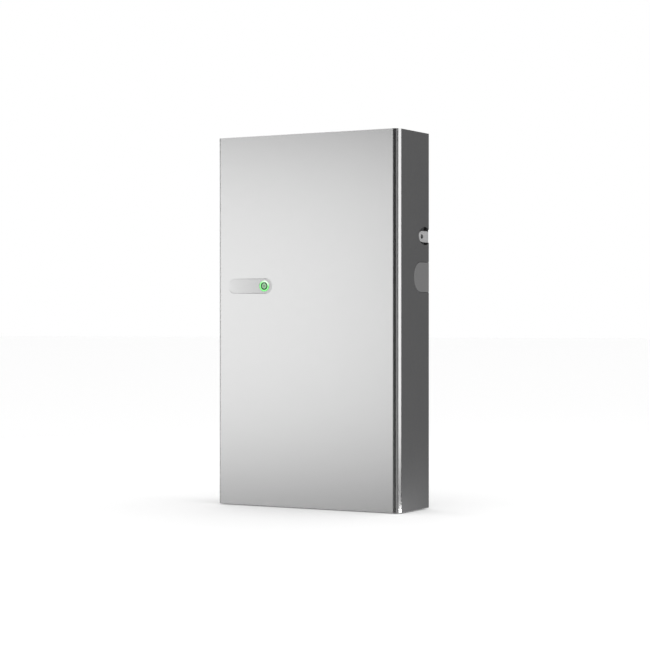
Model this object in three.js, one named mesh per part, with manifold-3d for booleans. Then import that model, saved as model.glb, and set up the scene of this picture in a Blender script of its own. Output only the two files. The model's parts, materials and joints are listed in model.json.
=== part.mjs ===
// Wall battery unit: a flat, tall home battery in a folded metal cover, hung on a steel wall bracket.
// Millimetres, +Z up. The origin is on the floor under the middle of the unit's box. The silver front
// faces -Y, the wall plane is at +Y, and the disconnect switch is on the +X side.
import * as THREE from "three";
import { mergeVertices } from "three/addons/utils/BufferGeometryUtils.js";
import Module from "manifold-3d";

const wasm = await Module();
wasm.setup();

// ---- Driving dimensions ----
const WIDTH = 550;
const HEIGHT = 980;
const DEPTH = 188;
const BRACKET_DEPTH = 18; // from the cover's rear edge back to the wall
const GAP = 0.2; // between pieces that are fastened face to face
const RUNNING = 0.1; // radial clearance of a pin or shaft

const HALF_WIDTH = WIDTH / 2;
const FRONT_Y = -DEPTH / 2;
const WALL_Y = DEPTH / 2;
const REAR_Y = WALL_Y - BRACKET_DEPTH; // rear edge of the cover

// Cover
const CORNER_RADIUS = 17.8;
const FRONT_SKIN = 1.6;
const SIDE_SKIN = 1.5;
const COVER_BOTTOM = 3.2;
const SEAM = 0.3; // between the silver front and the dark sides
const HEM = 7; // width of the side panel's rear hem
const TOP_PANEL_Z = 974;
const LAP_TOP = TOP_PANEL_Z - 4; // the inner laps end below the top panel
const CORNER_Y = FRONT_Y + CORNER_RADIUS;

// Status recess, a pill that falls away from flush at its left end, ever more steeply
const STATUS_Z = 583.6;
const RECESS_LEFT = -237;
const RECESS_RIGHT = -102;
const RECESS_RADIUS = 19.35;
const RECESS_DEPTH = 9;
const RECESS_CURVE = 1.25; // how much steeper the floor gets along the recess
const BUTTON_X = -130;
const RING_OUTER = 14.6;
const RING_INNER = 10.2;
const BUTTON_RADIUS = 7.2;
const COLLAR_RADIUS = 9.5;
const COLLAR_THICKNESS = 2.5;
const STEM_RADIUS = 2.4;
const DISH_RADIUS = 2.4;
const BUTTON_FLOOR_Y = FRONT_Y + recessFall(BUTTON_X);
const RING_FRONT = BUTTON_FLOOR_Y - 1;
const RING_BACK = BUTTON_FLOOR_Y + 6;
const HOUSING_SHELF = RING_BACK + GAP; // the ring's seat inside the housing
const COLLAR_FRONT = HOUSING_SHELF + 4 + GAP; // front of the collar that keeps the button in
const SPRING_SEAT = -62;
const STATUS_AT = [BUTTON_X, STATUS_Z];

function recessFall(x) {
  const along = (x - RECESS_LEFT) / (RECESS_RIGHT - RECESS_LEFT);
  return RECESS_DEPTH * along ** RECESS_CURVE;
}

// Side openings, measured from the cover's rear edge
const VENT_ROW_YS = [-40, 30]; // the rows of slots in the top
const VENTS_EACH_SIDE = 4; // slots to each side of the middle one
const VENT_PITCH = 54;
const VENT_LENGTH = 40;
const VENT_WIDTH = 6;

const EAR_Z = 710.2;
const EAR_Y = REAR_Y - 29.2; // where the ear's oval end begins
const EAR_REACH = 25;
const EAR_RADIUS = 14.6; // half of the ear's height
const EAR_OUTER_X = 272;
const EAR_THICKNESS = 3.5;
const EAR_SCREW_Y = REAR_Y - 34;
const COUNTERBORE_RADIUS = 5.9;
const COUNTERBORE_DEPTH = 1.7;
const EAR_HOLE_RADIUS = 3.4;
const NOTCH_Z = 712;
const NOTCH_Y = REAR_Y - 21; // where the notch is tallest
const NOTCH_RADIUS = 23.6;
const NOTCH_FRONT_REACH = 36;
const NOTCH_REAR_REACH = 30;
const DOOR_Z = 604.4;
const DOOR_Y = REAR_Y - 46;
const DOOR_NOTCH_RADIUS = 39.4;
const DOOR_RADIUS = DOOR_NOTCH_RADIUS - 0.8;

// Enclosure: a tub that holds the battery, on a wiring box that stands on its own skirt
const TUB_X = 259;
const TUB_FRONT = -36;
const TUB_REAR = REAR_Y + 1;
const TUB_TOP = 955;
const TUB_WALL = 3;
const TUB_BOTTOM = 190;
const BOX_TOP = TUB_BOTTOM - GAP;
const BOX_FLOOR = 48;
const FLANGE = 15; // width of the inward flange that the gasket sits on
const BASE_FLANGE = 20;
const GASKET = 2;
const LID_BACK = TUB_FRONT - GASKET;
const LID_FRONT = LID_BACK - TUB_WALL;
const LID_X = TUB_X - 1.5;
const LID_BOTTOM = TUB_BOTTOM + 1;
const WIRING_COVER_TOP = BOX_TOP - 1;
const SCREW_X = 250;
const LID_SCREW_ZS = [230, 910];
const WIRING_SCREW_Z = 120;
const SCREW_SHANK = 2.5;
const VENT_STEM = 7.8;
const PRESSURE_VENT_Z = 222;
const LID_RIB_ZS = [268, 870];
const COVER_RIB_ZS = [73, 163];
const RIB_HALF = 4;
const BAY_FRONT = TUB_FRONT + TUB_WALL;
const BAY_REAR = TUB_REAR - TUB_WALL;
const BOARD = 1.6; // thickness of a circuit board

// Cover studs
const STUD_X = 238;
const STUD_ZS = [250, 885];
const STUD_RADIUS = 5;
const CUP_RADIUS = 8;
const CUP_DEPTH = 11;

// Microinverters, two rows of three on mounting plates
const INVERTER = { width: 158, height: 190, depth: 27 };
const INVERTER_PITCH = 166;
const INVERTER_ROW_ZS = [425, 745];
const PLATE_HEIGHT = 160;
const PLATE_THICKNESS = 4.8;

// Cell modules, two columns of two
const MODULE = { width: 206, depth: 98, height: 230 };
const MODULE_XS = [-137, 77];
const MODULE_ZS = [315, 553];
const MODULE_Y = BAY_REAR - GAP - MODULE.depth / 2;

// Disconnect
const POCKET_RADIUS = 37;
const POCKET_WALL = 2.5;
const POCKET_FLOOR_X = 236;
const HINGE_X = 269;
const HINGE_Y = REAR_Y - 3.5;
const HINGE_PIN_RADIUS = 1.2;
const KNUCKLE_RADIUS = 2.6;
const KNUCKLE_HALF = 14;
const HINGE_HALF = 34;
const KNOB_Y = DOOR_Y + 4;
const KNOB_RADIUS = 21;
const SHAFT_RADIUS = 4;
const SHAFT_END = 223;

// Wall bracket
const STEEL = 2.5;
const BRACKET_X = 264;
const UPPER_RAIL = { bottom: 760, top: 840, lip: 800, holes: 820 };
const LOWER_RAIL = { bottom: 110, top: 160, lip: 150, holes: 140 };
const HOOK_X = 225;
const STRAP_X = 244;
const STRAP_WIDTH = 40;
const WALL_HOLE_RADIUS = 4.5;
const WALL_HOLE_XS = [-203, -102, 102, 203];

// Conduit hubs
const HUB_XS = [-90, 90];
const HUB_Y = 20;
const HUB_RADIUS = 16.8;
const HUB_BORE = 13;
const HUB_BOTTOM = 18;

// ---- Solids ----
function toSolid(geometry) {
  const bare = geometry.clone();
  bare.deleteAttribute("normal");
  bare.deleteAttribute("uv");
  const merged = mergeVertices(bare, 1e-4);
  return new wasm.Manifold(
    new wasm.Mesh({
      numProp: 3,
      vertProperties: new Float32Array(merged.attributes.position.array),
      triVerts: new Uint32Array(merged.index.array),
    }),
  );
}

function toGeometry(solid) {
  const mesh = solid.getMesh();
  const geometry = new THREE.BufferGeometry();
  geometry.setAttribute("position", new THREE.BufferAttribute(mesh.vertProperties, 3));
  geometry.setIndex(new THREE.BufferAttribute(mesh.triVerts, 1));
  geometry.computeVertexNormals();
  return geometry;
}

function join(...solids) {
  return solids.reduce((whole, solid) => whole.add(solid));
}

function cut(solid, ...tools) {
  return tools.reduce((rest, tool) => rest.subtract(tool), solid);
}

function box(low, high) {
  const size = high.map((value, axis) => value - low[axis]);
  const centre = high.map((value, axis) => (value + low[axis]) / 2);
  return toSolid(new THREE.BoxGeometry(...size).translate(...centre));
}

function polygon(points) {
  return new THREE.Shape(points.map(([a, b]) => new THREE.Vector2(a, b)));
}

function extrude(shape, depth, curveSegments) {
  return new THREE.ExtrudeGeometry(shape, { depth, bevelEnabled: false, curveSegments });
}

// A shape drawn in X and Y, standing from low to high in Z. Each arc gets twice as many sides as
// segments.
function prismZ(shape, low, high, segments = 6) {
  return toSolid(extrude(shape, high - low, segments).translate(0, 0, low));
}

// A shape drawn in Y and Z, running from low to high in X.
function prismX(shape, low, high, segments = 6) {
  const turn = new THREE.Matrix4().makeBasis(
    new THREE.Vector3(0, 1, 0),
    new THREE.Vector3(0, 0, 1),
    new THREE.Vector3(1, 0, 0),
  );
  return toSolid(extrude(shape, high - low, segments).applyMatrix4(turn).translate(low, 0, 0));
}

// A shape drawn in X and Z, running from low to high in Y.
function prismY(shape, low, high, segments = 6) {
  const turn = new THREE.Matrix4().makeBasis(
    new THREE.Vector3(1, 0, 0),
    new THREE.Vector3(0, 0, 1),
    new THREE.Vector3(0, -1, 0),
  );
  return toSolid(extrude(shape, high - low, segments).applyMatrix4(turn).translate(0, high, 0));
}

// A round bar along one axis, from low to high, at the other two coordinates in X, Y, Z order.
function bar(axis, radius, low, high, at, sides = 16) {
  const shape = new THREE.Shape();
  shape.absarc(at[0], at[1], radius, 0, 2 * Math.PI, false);
  const prism = { x: prismX, y: prismY, z: prismZ }[axis];
  return prism(shape, low, high, sides / 2);
}

// A body turned about the Z axis; the profile holds radius and height pairs and starts and ends on it.
function turned(profile, segments = 24) {
  const points = profile.map(([radius, height]) => new THREE.Vector2(radius, height));
  return toSolid(new THREE.LatheGeometry(points, segments).rotateX(Math.PI / 2));
}

// A slot outline between two arc centres on one horizontal line.
function pill(left, right, centre, radius) {
  const shape = new THREE.Shape();
  shape.absarc(left, centre, radius, Math.PI / 2, 1.5 * Math.PI, false);
  shape.absarc(right, centre, radius, -Math.PI / 2, Math.PI / 2, false);
  shape.closePath();
  return shape;
}

// A tongue outline: round at the low end, straight to the high end. A reach other than the radius makes
// the round end an oval one.
function tongue(arcCentre, end, centre, radius, reach = radius) {
  const shape = new THREE.Shape();
  shape.absellipse(arcCentre, centre, reach, radius, Math.PI / 2, 1.5 * Math.PI, false);
  shape.lineTo(end, centre - radius);
  shape.lineTo(end, centre + radius);
  shape.closePath();
  return shape;
}

// ---- Materials ----
function finish(color, roughness, metalness, extra = {}) {
  return new THREE.MeshStandardMaterial({ color, roughness, metalness, ...extra });
}

const silverPaint = finish(0xdcdcdc, 0.38, 0.55);
const darkPaint = finish(0x5b5c5c, 0.5, 0.3);
const doorPlastic = finish(0x737474, 0.55, 0);
const earSteel = finish(0xa9a9aa, 0.4, 0.8);
const bracketSteel = finish(0x8f9193, 0.5, 0.7);
const screwSteel = finish(0xc4c6c8, 0.3, 0.9);
const castAluminium = finish(0xa3a6a8, 0.5, 0.7);
const enclosurePaint = finish(0x3c3d3e, 0.6, 0.3);
const blackPlastic = finish(0x1d1e20, 0.55, 0);
const rubber = finish(0x18191a, 0.85, 0);
const cellBlue = finish(0x2f5f96, 0.5, 0.1);
const copper = finish(0xb8733a, 0.3, 1);
const boardGreen = finish(0x1f5a3a, 0.6, 0);
const inverterGrey = finish(0x3a3c40, 0.55, 0.4);
const knobRed = finish(0xb02a22, 0.45, 0);
const litGreen = finish(0x8df09a, 0.3, 0, { emissive: 0x4cdc6a, emissiveIntensity: 1 });
const springSteel = finish(0xb6b8ba, 0.3, 1);

function named(name, solid, material, position = [0, 0, 0]) {
  const mesh = new THREE.Mesh(toGeometry(solid), material.clone());
  mesh.name = name;
  mesh.position.set(...position);
  return mesh;
}

// ---- Cover ----
// The section of the recess in X and Y, from in front of the skin back to the sloping floor.
function recessProfile(depthOffset) {
  const steps = 10;
  const points = [[RECESS_LEFT - 30, FRONT_Y - 5]];
  points.push([RECESS_LEFT - 30, FRONT_Y + depthOffset]);
  for (let step = 0; step <= steps; step += 1) {
    const x = RECESS_LEFT + (step / steps) * (RECESS_RIGHT - RECESS_LEFT);
    points.push([x, FRONT_Y + depthOffset + recessFall(x)]);
  }
  points.push([RECESS_RIGHT + 30, FRONT_Y + depthOffset + RECESS_DEPTH]);
  points.push([RECESS_RIGHT + 30, FRONT_Y - 5]);
  return polygon(points);
}

function recessBody(radius, depthOffset, front) {
  const left = RECESS_LEFT + RECESS_RADIUS;
  const right = RECESS_RIGHT - RECESS_RADIUS;
  const outline = pill(left, right, STATUS_Z, radius);
  const column = prismY(outline, front, FRONT_Y + RECESS_DEPTH + FRONT_SKIN + 2);
  const reach = RECESS_RADIUS + 10;
  const ramp = prismZ(recessProfile(depthOffset), STATUS_Z - reach, STATUS_Z + reach);
  return column.intersect(ramp);
}

function frontPanel() {
  const arcX = HALF_WIDTH - CORNER_RADIUS;
  const inner = CORNER_RADIUS - FRONT_SKIN;
  const section = new THREE.Shape();
  section.absarc(-arcX, CORNER_Y, CORNER_RADIUS, Math.PI, 1.5 * Math.PI, false);
  section.absarc(arcX, CORNER_Y, CORNER_RADIUS, 1.5 * Math.PI, 2 * Math.PI, false);
  section.absarc(arcX, CORNER_Y, inner, 2 * Math.PI, 1.5 * Math.PI, true);
  section.absarc(-arcX, CORNER_Y, inner, 1.5 * Math.PI, Math.PI, true);
  section.closePath();
  const skin = prismZ(section, COVER_BOTTOM, HEIGHT, 5);

  const hemBack = FRONT_Y + 10;
  const hem = box([-arcX, FRONT_Y + 0.5, COVER_BOTTOM], [arcX, hemBack, COVER_BOTTOM + FRONT_SKIN]);
  const innerY = FRONT_Y + FRONT_SKIN;
  const cups = [];
  const sockets = [];
  for (const side of [-1, 1]) {
    for (const z of STUD_ZS) {
      const at = [side * STUD_X, z];
      cups.push(bar("y", CUP_RADIUS, innerY - 0.5, innerY + CUP_DEPTH, at));
      sockets.push(bar("y", STUD_RADIUS + 0.4, innerY, innerY + CUP_DEPTH + 1, at));
    }
  }
  const backing = recessBody(RECESS_RADIUS + FRONT_SKIN, FRONT_SKIN, FRONT_Y + 0.5);
  const hollow = recessBody(RECESS_RADIUS, 0, FRONT_Y - 2);
    const ringHole = bar("y", RING_OUTER + 0.5, FRONT_Y - 2, FRONT_Y + 12, STATUS_AT, 24);
  return cut(join(skin, hem, backing, ...cups), hollow, ringHole, ...sockets);
}

// The oval notch around the ear, which the rear edge cuts off.
function earNotchOutline() {
  const shape = new THREE.Shape();
  const quarter = Math.PI / 2;
  const at = [NOTCH_Y, NOTCH_Z];
  shape.absellipse(...at, NOTCH_FRONT_REACH, NOTCH_RADIUS, quarter, 3 * quarter, false);
  shape.absellipse(...at, NOTCH_REAR_REACH, NOTCH_RADIUS, -quarter, quarter, false);
  shape.closePath();
  return shape;
}

function sidePanel(side, notches) {
  const out = side * HALF_WIDTH;
  const skin = side * (HALF_WIDTH - SIDE_SKIN);
  const hem = side * (HALF_WIDTH - HEM);
  const lapOut = side * (HALF_WIDTH - 3.8);
  const lapIn = side * (HALF_WIDTH - 5.3);
  const front = CORNER_Y + SEAM;
  const section = polygon([
    [out, front],
    [out, REAR_Y],
    [hem, REAR_Y],
    [hem, REAR_Y - SIDE_SKIN],
    [skin, REAR_Y - SIDE_SKIN],
    [skin, front + 4],
    [lapIn, front + 1.5],
    [lapIn, front - 6],
    [lapOut, front - 6],
    [lapOut, front],
  ]);
  const lowX = Math.min(side * (HALF_WIDTH - 10), skin);
  const highX = Math.max(side * (HALF_WIDTH - 10), skin);
  const lapCut = box([lowX, front - 10, LAP_TOP], [highX, front + 10, HEIGHT + 1]);
  const tools = notches.map((shape) => {
    const ends = [side * (HALF_WIDTH - 15), side * (HALF_WIDTH + 5)];
    return prismX(shape, Math.min(...ends), Math.max(...ends), 10);
  });
  return cut(prismZ(section, COVER_BOTTOM, HEIGHT), lapCut, ...tools);
}

function topPanel() {
  const halfX = HALF_WIDTH - SIDE_SKIN - GAP;
  const front = FRONT_Y + FRONT_SKIN + GAP;
  const rear = REAR_Y - SIDE_SKIN - GAP;
  const radius = CORNER_RADIUS - FRONT_SKIN;
  const outline = new THREE.Shape();
  outline.absarc(-halfX + radius, front + radius, radius, Math.PI, 1.5 * Math.PI, false);
  outline.absarc(halfX - radius, front + radius, radius, 1.5 * Math.PI, 2 * Math.PI, false);
  outline.lineTo(halfX, rear);
  outline.lineTo(-halfX, rear);
  outline.closePath();
  const plate = prismZ(outline, TOP_PANEL_Z, TOP_PANEL_Z + SIDE_SKIN);
  const flangeX = HALF_WIDTH - HEM - 2;
  const flange = box(
    [-flangeX, rear - SIDE_SKIN, TUB_TOP + 3],
    [flangeX, rear, TOP_PANEL_Z + SIDE_SKIN],
  );
  const slots = [];
  for (const y of VENT_ROW_YS) {
    for (let index = -VENTS_EACH_SIDE; index <= VENTS_EACH_SIDE; index += 1) {
      const [x, halfX, halfY] = [index * VENT_PITCH, VENT_LENGTH / 2, VENT_WIDTH / 2];
      slots.push(
        box([x - halfX, y - halfY, TOP_PANEL_Z - 1], [x + halfX, y + halfY, TOP_PANEL_Z + 3]),
      );
    }
  }
  return cut(join(plate, flange), ...slots);
}

// ---- Enclosure ----
const BAY_X = TUB_X - TUB_WALL;
const batteryBay = { x: BAY_X, bottom: TUB_BOTTOM + TUB_WALL, top: TUB_TOP - TUB_WALL };
const wiringBay = { x: BAY_X, bottom: BOX_FLOOR + TUB_WALL, top: BOX_TOP - TUB_WALL };

function shrunk(bay, margin) {
  return { x: bay.x - margin, bottom: bay.bottom + margin, top: bay.top - margin };
}

function frontScrewHoles(low, high) {
  const holes = [];
  for (const side of [-1, 1]) {
    for (const z of [...LID_SCREW_ZS, WIRING_SCREW_Z]) {
      holes.push(bar("y", SCREW_SHANK + RUNNING, low, high, [side * SCREW_X, z], 8));
    }
  }
  return holes;
}

// The hollow of a bay and the window in its front that the inward flange leaves.
function bayHollows(bay) {
  const opening = shrunk(bay, FLANGE - TUB_WALL);
  return [
    box([-bay.x, BAY_FRONT, bay.bottom], [bay.x, BAY_REAR, bay.top]),
    box([-opening.x, TUB_FRONT - 1, opening.bottom], [opening.x, BAY_FRONT + 1, opening.top]),
  ];
}

// The hole for the cables that run from the battery bay down to the wiring bay.
function cablePass() {
  const radius = 12;
  const at = [225, 45];
  return bar("z", radius, BOX_TOP - TUB_WALL - 1, TUB_BOTTOM + TUB_WALL + 1, at);
}

function enclosureTub() {
  const bossRadius = 10;
  const screwRadius = 3;
  const bosses = [];
  const bossHoles = [];
  for (const side of [-1, 1]) {
    const at = [EAR_SCREW_Y, EAR_Z];
    const boss = [side * (TUB_X - 1), side * (EAR_OUTER_X - EAR_THICKNESS - GAP)];
    const hole = [side * (TUB_X - 9), side * (TUB_X + 12)];
    bosses.push(bar("x", bossRadius, Math.min(...boss), Math.max(...boss), at));
    const holeSpan = [Math.min(...hole), Math.max(...hole)];
    bossHoles.push(bar("x", screwRadius + RUNNING, ...holeSpan, at, 8));
  }
  const shell = box([-TUB_X, TUB_FRONT, TUB_BOTTOM], [TUB_X, TUB_REAR, TUB_TOP]);
  const pocketHole = prismX(
    tongue(DOOR_Y, BAY_REAR, DOOR_Z, POCKET_RADIUS + GAP),
    BAY_X - 1,
    TUB_X + 1,
    8,
  );
  return cut(
    join(shell, ...bosses),
    ...bayHollows(batteryBay),
    cablePass(),
    pocketHole,
    ...bossHoles,
    ...frontScrewHoles(TUB_FRONT - 1, BAY_FRONT + 1),
  );
}

function wiringBox() {
  const mouth = BAY_X - BASE_FLANGE;
  const shell = box([-TUB_X, TUB_FRONT, 0], [TUB_X, TUB_REAR, BOX_TOP]);
  const skirt = box([-BAY_X, BAY_FRONT, TUB_WALL], [BAY_X, BAY_REAR, BOX_FLOOR]);
  const skirtMouth = box([-mouth, BAY_FRONT, -1], [mouth, BAY_REAR, TUB_WALL + 1]);
  const sill = 12;
  const skirtWindow = box([-mouth, TUB_FRONT - 1, sill], [mouth, BAY_FRONT + 1, BOX_FLOOR - TUB_WALL]);
  const conduitHoles = HUB_XS.map((x) =>
    bar("z", HUB_RADIUS + 0.4, BOX_FLOOR - 1, BOX_FLOOR + 5, [x, HUB_Y], 16),
  );
  return cut(
    shell,
    ...bayHollows(wiringBay),
    skirt,
    skirtMouth,
    skirtWindow,
    cablePass(),
    ...conduitHoles,
    ...frontScrewHoles(TUB_FRONT - 1, BAY_FRONT + 1),
  );
}

// Each face of the gasket keeps a hair's breadth from the metal, so that the solids don't overlap.
// One gasket under both the lid and the wiring cover, with a window for each bay.
function enclosureGasket() {
  const clear = 0.1;
  const back = TUB_FRONT - clear;
  const front = LID_BACK + clear;
  const sheet = box([-BAY_X - 1, front, wiringBay.bottom - 1], [BAY_X + 1, back, batteryBay.top + 1]);
  const windows = [batteryBay, wiringBay].map((bay) => {
    const window = shrunk(bay, FLANGE - TUB_WALL - 1);
    return box([-window.x, front - 1, window.bottom], [window.x, back + 1, window.top]);
  });
  return cut(sheet, ...windows, ...frontScrewHoles(LID_BACK - 1, TUB_FRONT + 1));
}

// A headed peg on the lid that a cup of the front panel snaps over.
function coverStud(x, z) {
  const tipGap = 5;
  const length = LID_FRONT - (FRONT_Y + FRONT_SKIN + tipGap);
  const base = 8;
  const neck = 4;
  const tip = 3.5;
  const profile = [
    [0, -1],
    [base, -1],
    [base, 2],
    [neck, 6],
    [neck, length - 6],
    [STUD_RADIUS, length - 3],
    [tip, length],
    [0, length],
  ];
  const points = profile.map(([radius, height]) => new THREE.Vector2(radius, height));
  const body = new THREE.LatheGeometry(points, 10).rotateX(Math.PI);
  const alongY = new THREE.Matrix4().makeTranslation(x, LID_FRONT, z);
  return toSolid(body.applyMatrix4(alongY));
}

function enclosureLid() {
  const plate = box([-LID_X, LID_FRONT, LID_BOTTOM], [LID_X, LID_BACK, TUB_TOP - 1.5]);
  const reach = LID_X - 40;
  const stiffeners = LID_RIB_ZS.map((z) =>
    box([-reach, LID_FRONT - 3, z - RIB_HALF], [reach, LID_FRONT + 1, z + RIB_HALF]),
  );
  const studs = [-1, 1].flatMap((side) => STUD_ZS.map((z) => coverStud(side * STUD_X, z)));
  const ventHole = bar("y", VENT_STEM + 0.5, LID_FRONT - 1, LID_BACK + 1, [0, PRESSURE_VENT_Z], 12);
  const screwHoles = frontScrewHoles(LID_FRONT - 1, LID_BACK + 1);
  return cut(join(plate, ...stiffeners, ...studs), ventHole, ...screwHoles);
}

function wiringCover() {
  const plate = box([-LID_X, LID_FRONT, BOX_FLOOR + 4], [LID_X, LID_BACK, WIRING_COVER_TOP]);
  const reach = 180;
  const ribs = COVER_RIB_ZS.map((z) =>
    box([-reach, LID_FRONT - 4, z - 3], [reach, LID_FRONT + 1, z + 3]),
  );
  return cut(join(plate, ...ribs), ...frontScrewHoles(LID_FRONT - 1, LID_BACK + 1));
}

// A pan-head screw that points to +Y, with a square drive recess; its seat is at the origin.
function panScrew() {
  const headRadius = 5.2;
  const headHeight = 3.2;
  const length = 10;
  const driveHalf = 1.6;
  const driveFloor = -1.4;
  const head = bar("y", headRadius, -headHeight, -0.1, [0, 0], 14);
  const shank = bar("y", SCREW_SHANK, -0.5, length, [0, 0], 8);
  const drive = box([-driveHalf, -headHeight - 1, -driveHalf], [driveHalf, driveFloor, driveHalf]);
  return cut(join(head, shank), drive);
}

function pressureVent() {
  const capRadius = 13;
  const capHeight = 6;
  const cap = bar("y", capRadius, -capHeight, -GAP, [0, 0], 18);
  const stem = bar("y", VENT_STEM, -1, 4, [0, 0], 12);
  const [apart, half, reach, floor] = [6, 1, 9, -4.5];
  const grooves = [-apart, apart].map((x) =>
    box([x - half, -capHeight - 1, -reach], [x + half, floor, reach]),
  );
  return cut(join(cap, stem), ...grooves);
}

// ---- Wall bracket ----
function wallHoles(z) {
  return WALL_HOLE_XS.map((x) => bar("y", WALL_HOLE_RADIUS, WALL_Y - 8, WALL_Y + 1, [x, z], 10));
}

function upperRail() {
  const back = WALL_Y - STEEL;
  const lipFront = WALL_Y - 10;
  const section = polygon([
    [WALL_Y, UPPER_RAIL.bottom],
    [WALL_Y, UPPER_RAIL.top],
    [back, UPPER_RAIL.top],
    [back, UPPER_RAIL.bottom + STEEL],
    [lipFront + STEEL, UPPER_RAIL.bottom + STEEL],
    [lipFront + STEEL, UPPER_RAIL.lip],
    [lipFront, UPPER_RAIL.lip],
    [lipFront, UPPER_RAIL.bottom],
  ]);
  return cut(prismX(section, -BRACKET_X, BRACKET_X), ...wallHoles(UPPER_RAIL.holes));
}

function lowerRail() {
  const back = WALL_Y - STEEL;
  const padFront = TUB_REAR + GAP;
  const section = polygon([
    [WALL_Y, LOWER_RAIL.bottom],
    [WALL_Y, LOWER_RAIL.top],
    [back, LOWER_RAIL.top],
    [back, LOWER_RAIL.bottom + STEEL],
    [padFront + STEEL, LOWER_RAIL.bottom + STEEL],
    [padFront + STEEL, LOWER_RAIL.lip],
    [padFront, LOWER_RAIL.lip],
    [padFront, LOWER_RAIL.bottom],
  ]);
  return cut(prismX(section, -BRACKET_X, BRACKET_X), ...wallHoles(LOWER_RAIL.holes));
}

function strap() {
  const half = STRAP_WIDTH / 2;
  const plate = box(
    [-half, WALL_Y - STEEL, LOWER_RAIL.top + GAP],
    [half, WALL_Y, UPPER_RAIL.bottom - GAP],
  );
  const holeRadius = 10;
  const lightening = [300, 460, 620].map((z) =>
    bar("y", holeRadius, WALL_Y - STEEL - 1, WALL_Y + 1, [0, z], 12),
  );
  return cut(plate, ...lightening);
}

// The folded ear: a round-ended side plate, a chamfered turn behind the cover and a foot on the strap.
function bracketEar(side) {
  const outer = EAR_OUTER_X;
  const inner = EAR_OUTER_X - EAR_THICKNESS;
  const footY = WALL_Y - STEEL - GAP;
  const sheet = 3;
  const turnFront = REAR_Y + sheet;
  const turnBack = turnFront + sheet;
  const chamfer = 4.5;
  const legIn = 250;
  const legOut = legIn + sheet;
  const footIn = 228;
  const section = polygon(
    [
      [outer, EAR_Y - EAR_REACH],
      [outer, turnBack - chamfer],
      [outer - chamfer, turnBack],
      [legOut, turnBack],
      [legOut, footY],
      [footIn, footY],
      [footIn, footY - sheet],
      [legIn, footY - sheet],
      [legIn, turnFront],
      [inner - 1, turnFront],
      [inner, turnFront - 1],
      [inner, EAR_Y - EAR_REACH],
    ].map(([x, y]) => [side * x, y]),
  );
  const body = prismZ(section, EAR_Z - EAR_RADIUS, EAR_Z + EAR_RADIUS);
  const tip = tongue(EAR_Y, WALL_Y + 5, EAR_Z, EAR_RADIUS, EAR_REACH);
  const bounds = [side * (footIn - 1), side * (outer + 1)];
  const rounded = body.intersect(prismX(tip, Math.min(...bounds), Math.max(...bounds), 8));
  const sink = [side * (outer - COUNTERBORE_DEPTH), side * (outer + 1)];
  const through = [side * (inner - 1), side * (outer + 1)];
  const screwAt = [EAR_SCREW_Y, EAR_Z];
  return cut(
    rounded,
    bar("x", COUNTERBORE_RADIUS, Math.min(...sink), Math.max(...sink), screwAt, 18),
    bar("x", EAR_HOLE_RADIUS, Math.min(...through), Math.max(...through), screwAt, 10),
  );
}

// The ear's screw, with its seat at the origin and its shank along the side's inward direction.
function earScrew(side) {
  const headRadius = 4.3;
  const headHeight = 2.6;
  const shankRadius = 3;
  const shankLength = 14;
  const driveRadius = 2;
  const driveFloor = 1.2;
  const head = [side * 0.1, side * headHeight];
  const shank = [side * -shankLength, side * 0.5];
  const drive = [side * driveFloor, side * (headHeight + 1)];
  return cut(
    join(
      bar("x", headRadius, Math.min(...head), Math.max(...head), [0, 0], 16),
      bar("x", shankRadius, Math.min(...shank), Math.max(...shank), [0, 0], 8),
    ),
    bar("x", driveRadius, Math.min(...drive), Math.max(...drive), [0, 0], 6),
  );
}

function hangerHook() {
  const front = TUB_REAR + GAP;
  const lipBack = WALL_Y - 3.5;
  const bridge = UPPER_RAIL.lip + GAP;
  const legEnd = UPPER_RAIL.bottom + 10;
  const lipEnd = UPPER_RAIL.bottom + 12;
  const section = polygon([
    [front, legEnd],
    [front, bridge + STEEL],
    [lipBack, bridge + STEEL],
    [lipBack, lipEnd],
    [lipBack - STEEL, lipEnd],
    [lipBack - STEEL, bridge],
    [front + STEEL, bridge],
    [front + STEEL, legEnd],
  ]);
  return prismX(section, -HOOK_X, HOOK_X);
}

// ---- Cells and electronics ----
// One block of stacked prismatic cells between two end plates, centred on the origin.
function cellModule() {
  const { width, depth, height } = MODULE;
  const cells = 4;
  const endPlate = 4;
  const terminalZ = 85;
  const terminalHalf = 6;
  const terminalStand = 2.6;
  const pitch = (width - 2 * endPlate) / cells;
  const halfX = width / 2;
  const halfY = depth / 2;
  const halfZ = height / 2;
  const solids = [box([-halfX, -halfY + 3, -halfZ + 4], [halfX, halfY, halfZ - 4])];
  for (const side of [-1, 1]) {
    const ends = [side * (halfX - endPlate), side * halfX];
    solids.push(box([Math.min(...ends), -halfY, -halfZ], [Math.max(...ends), halfY, halfZ]));
  }
  for (let index = 0; index < cells; index += 1) {
    const x = -halfX + endPlate + pitch * (index + 0.5);
    const half = pitch / 2 - 1;
    solids.push(box([x - half, -halfY + 1, -halfZ + 8], [x + half, 0, halfZ - 8]));
    for (const z of [-terminalZ, terminalZ]) {
      const low = [x - terminalHalf, -halfY - terminalStand, z - terminalHalf];
      solids.push(box(low, [x + terminalHalf, 0, z + terminalHalf]));
    }
  }
  return join(...solids);
}

// A flat link over the terminals of two neighbouring modules.
function busbar(low, high) {
  const back = MODULE_Y - MODULE.depth / 2 - 2.8;
  const link = box([low[0], back - 2, low[1]], [high[0], back, high[1]]);
  const middle = [(low[0] + high[0]) / 2, (low[1] + high[1]) / 2];
  return cut(link, bar("y", 3, back - 3, back + 1, middle, 12));
}

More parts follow.
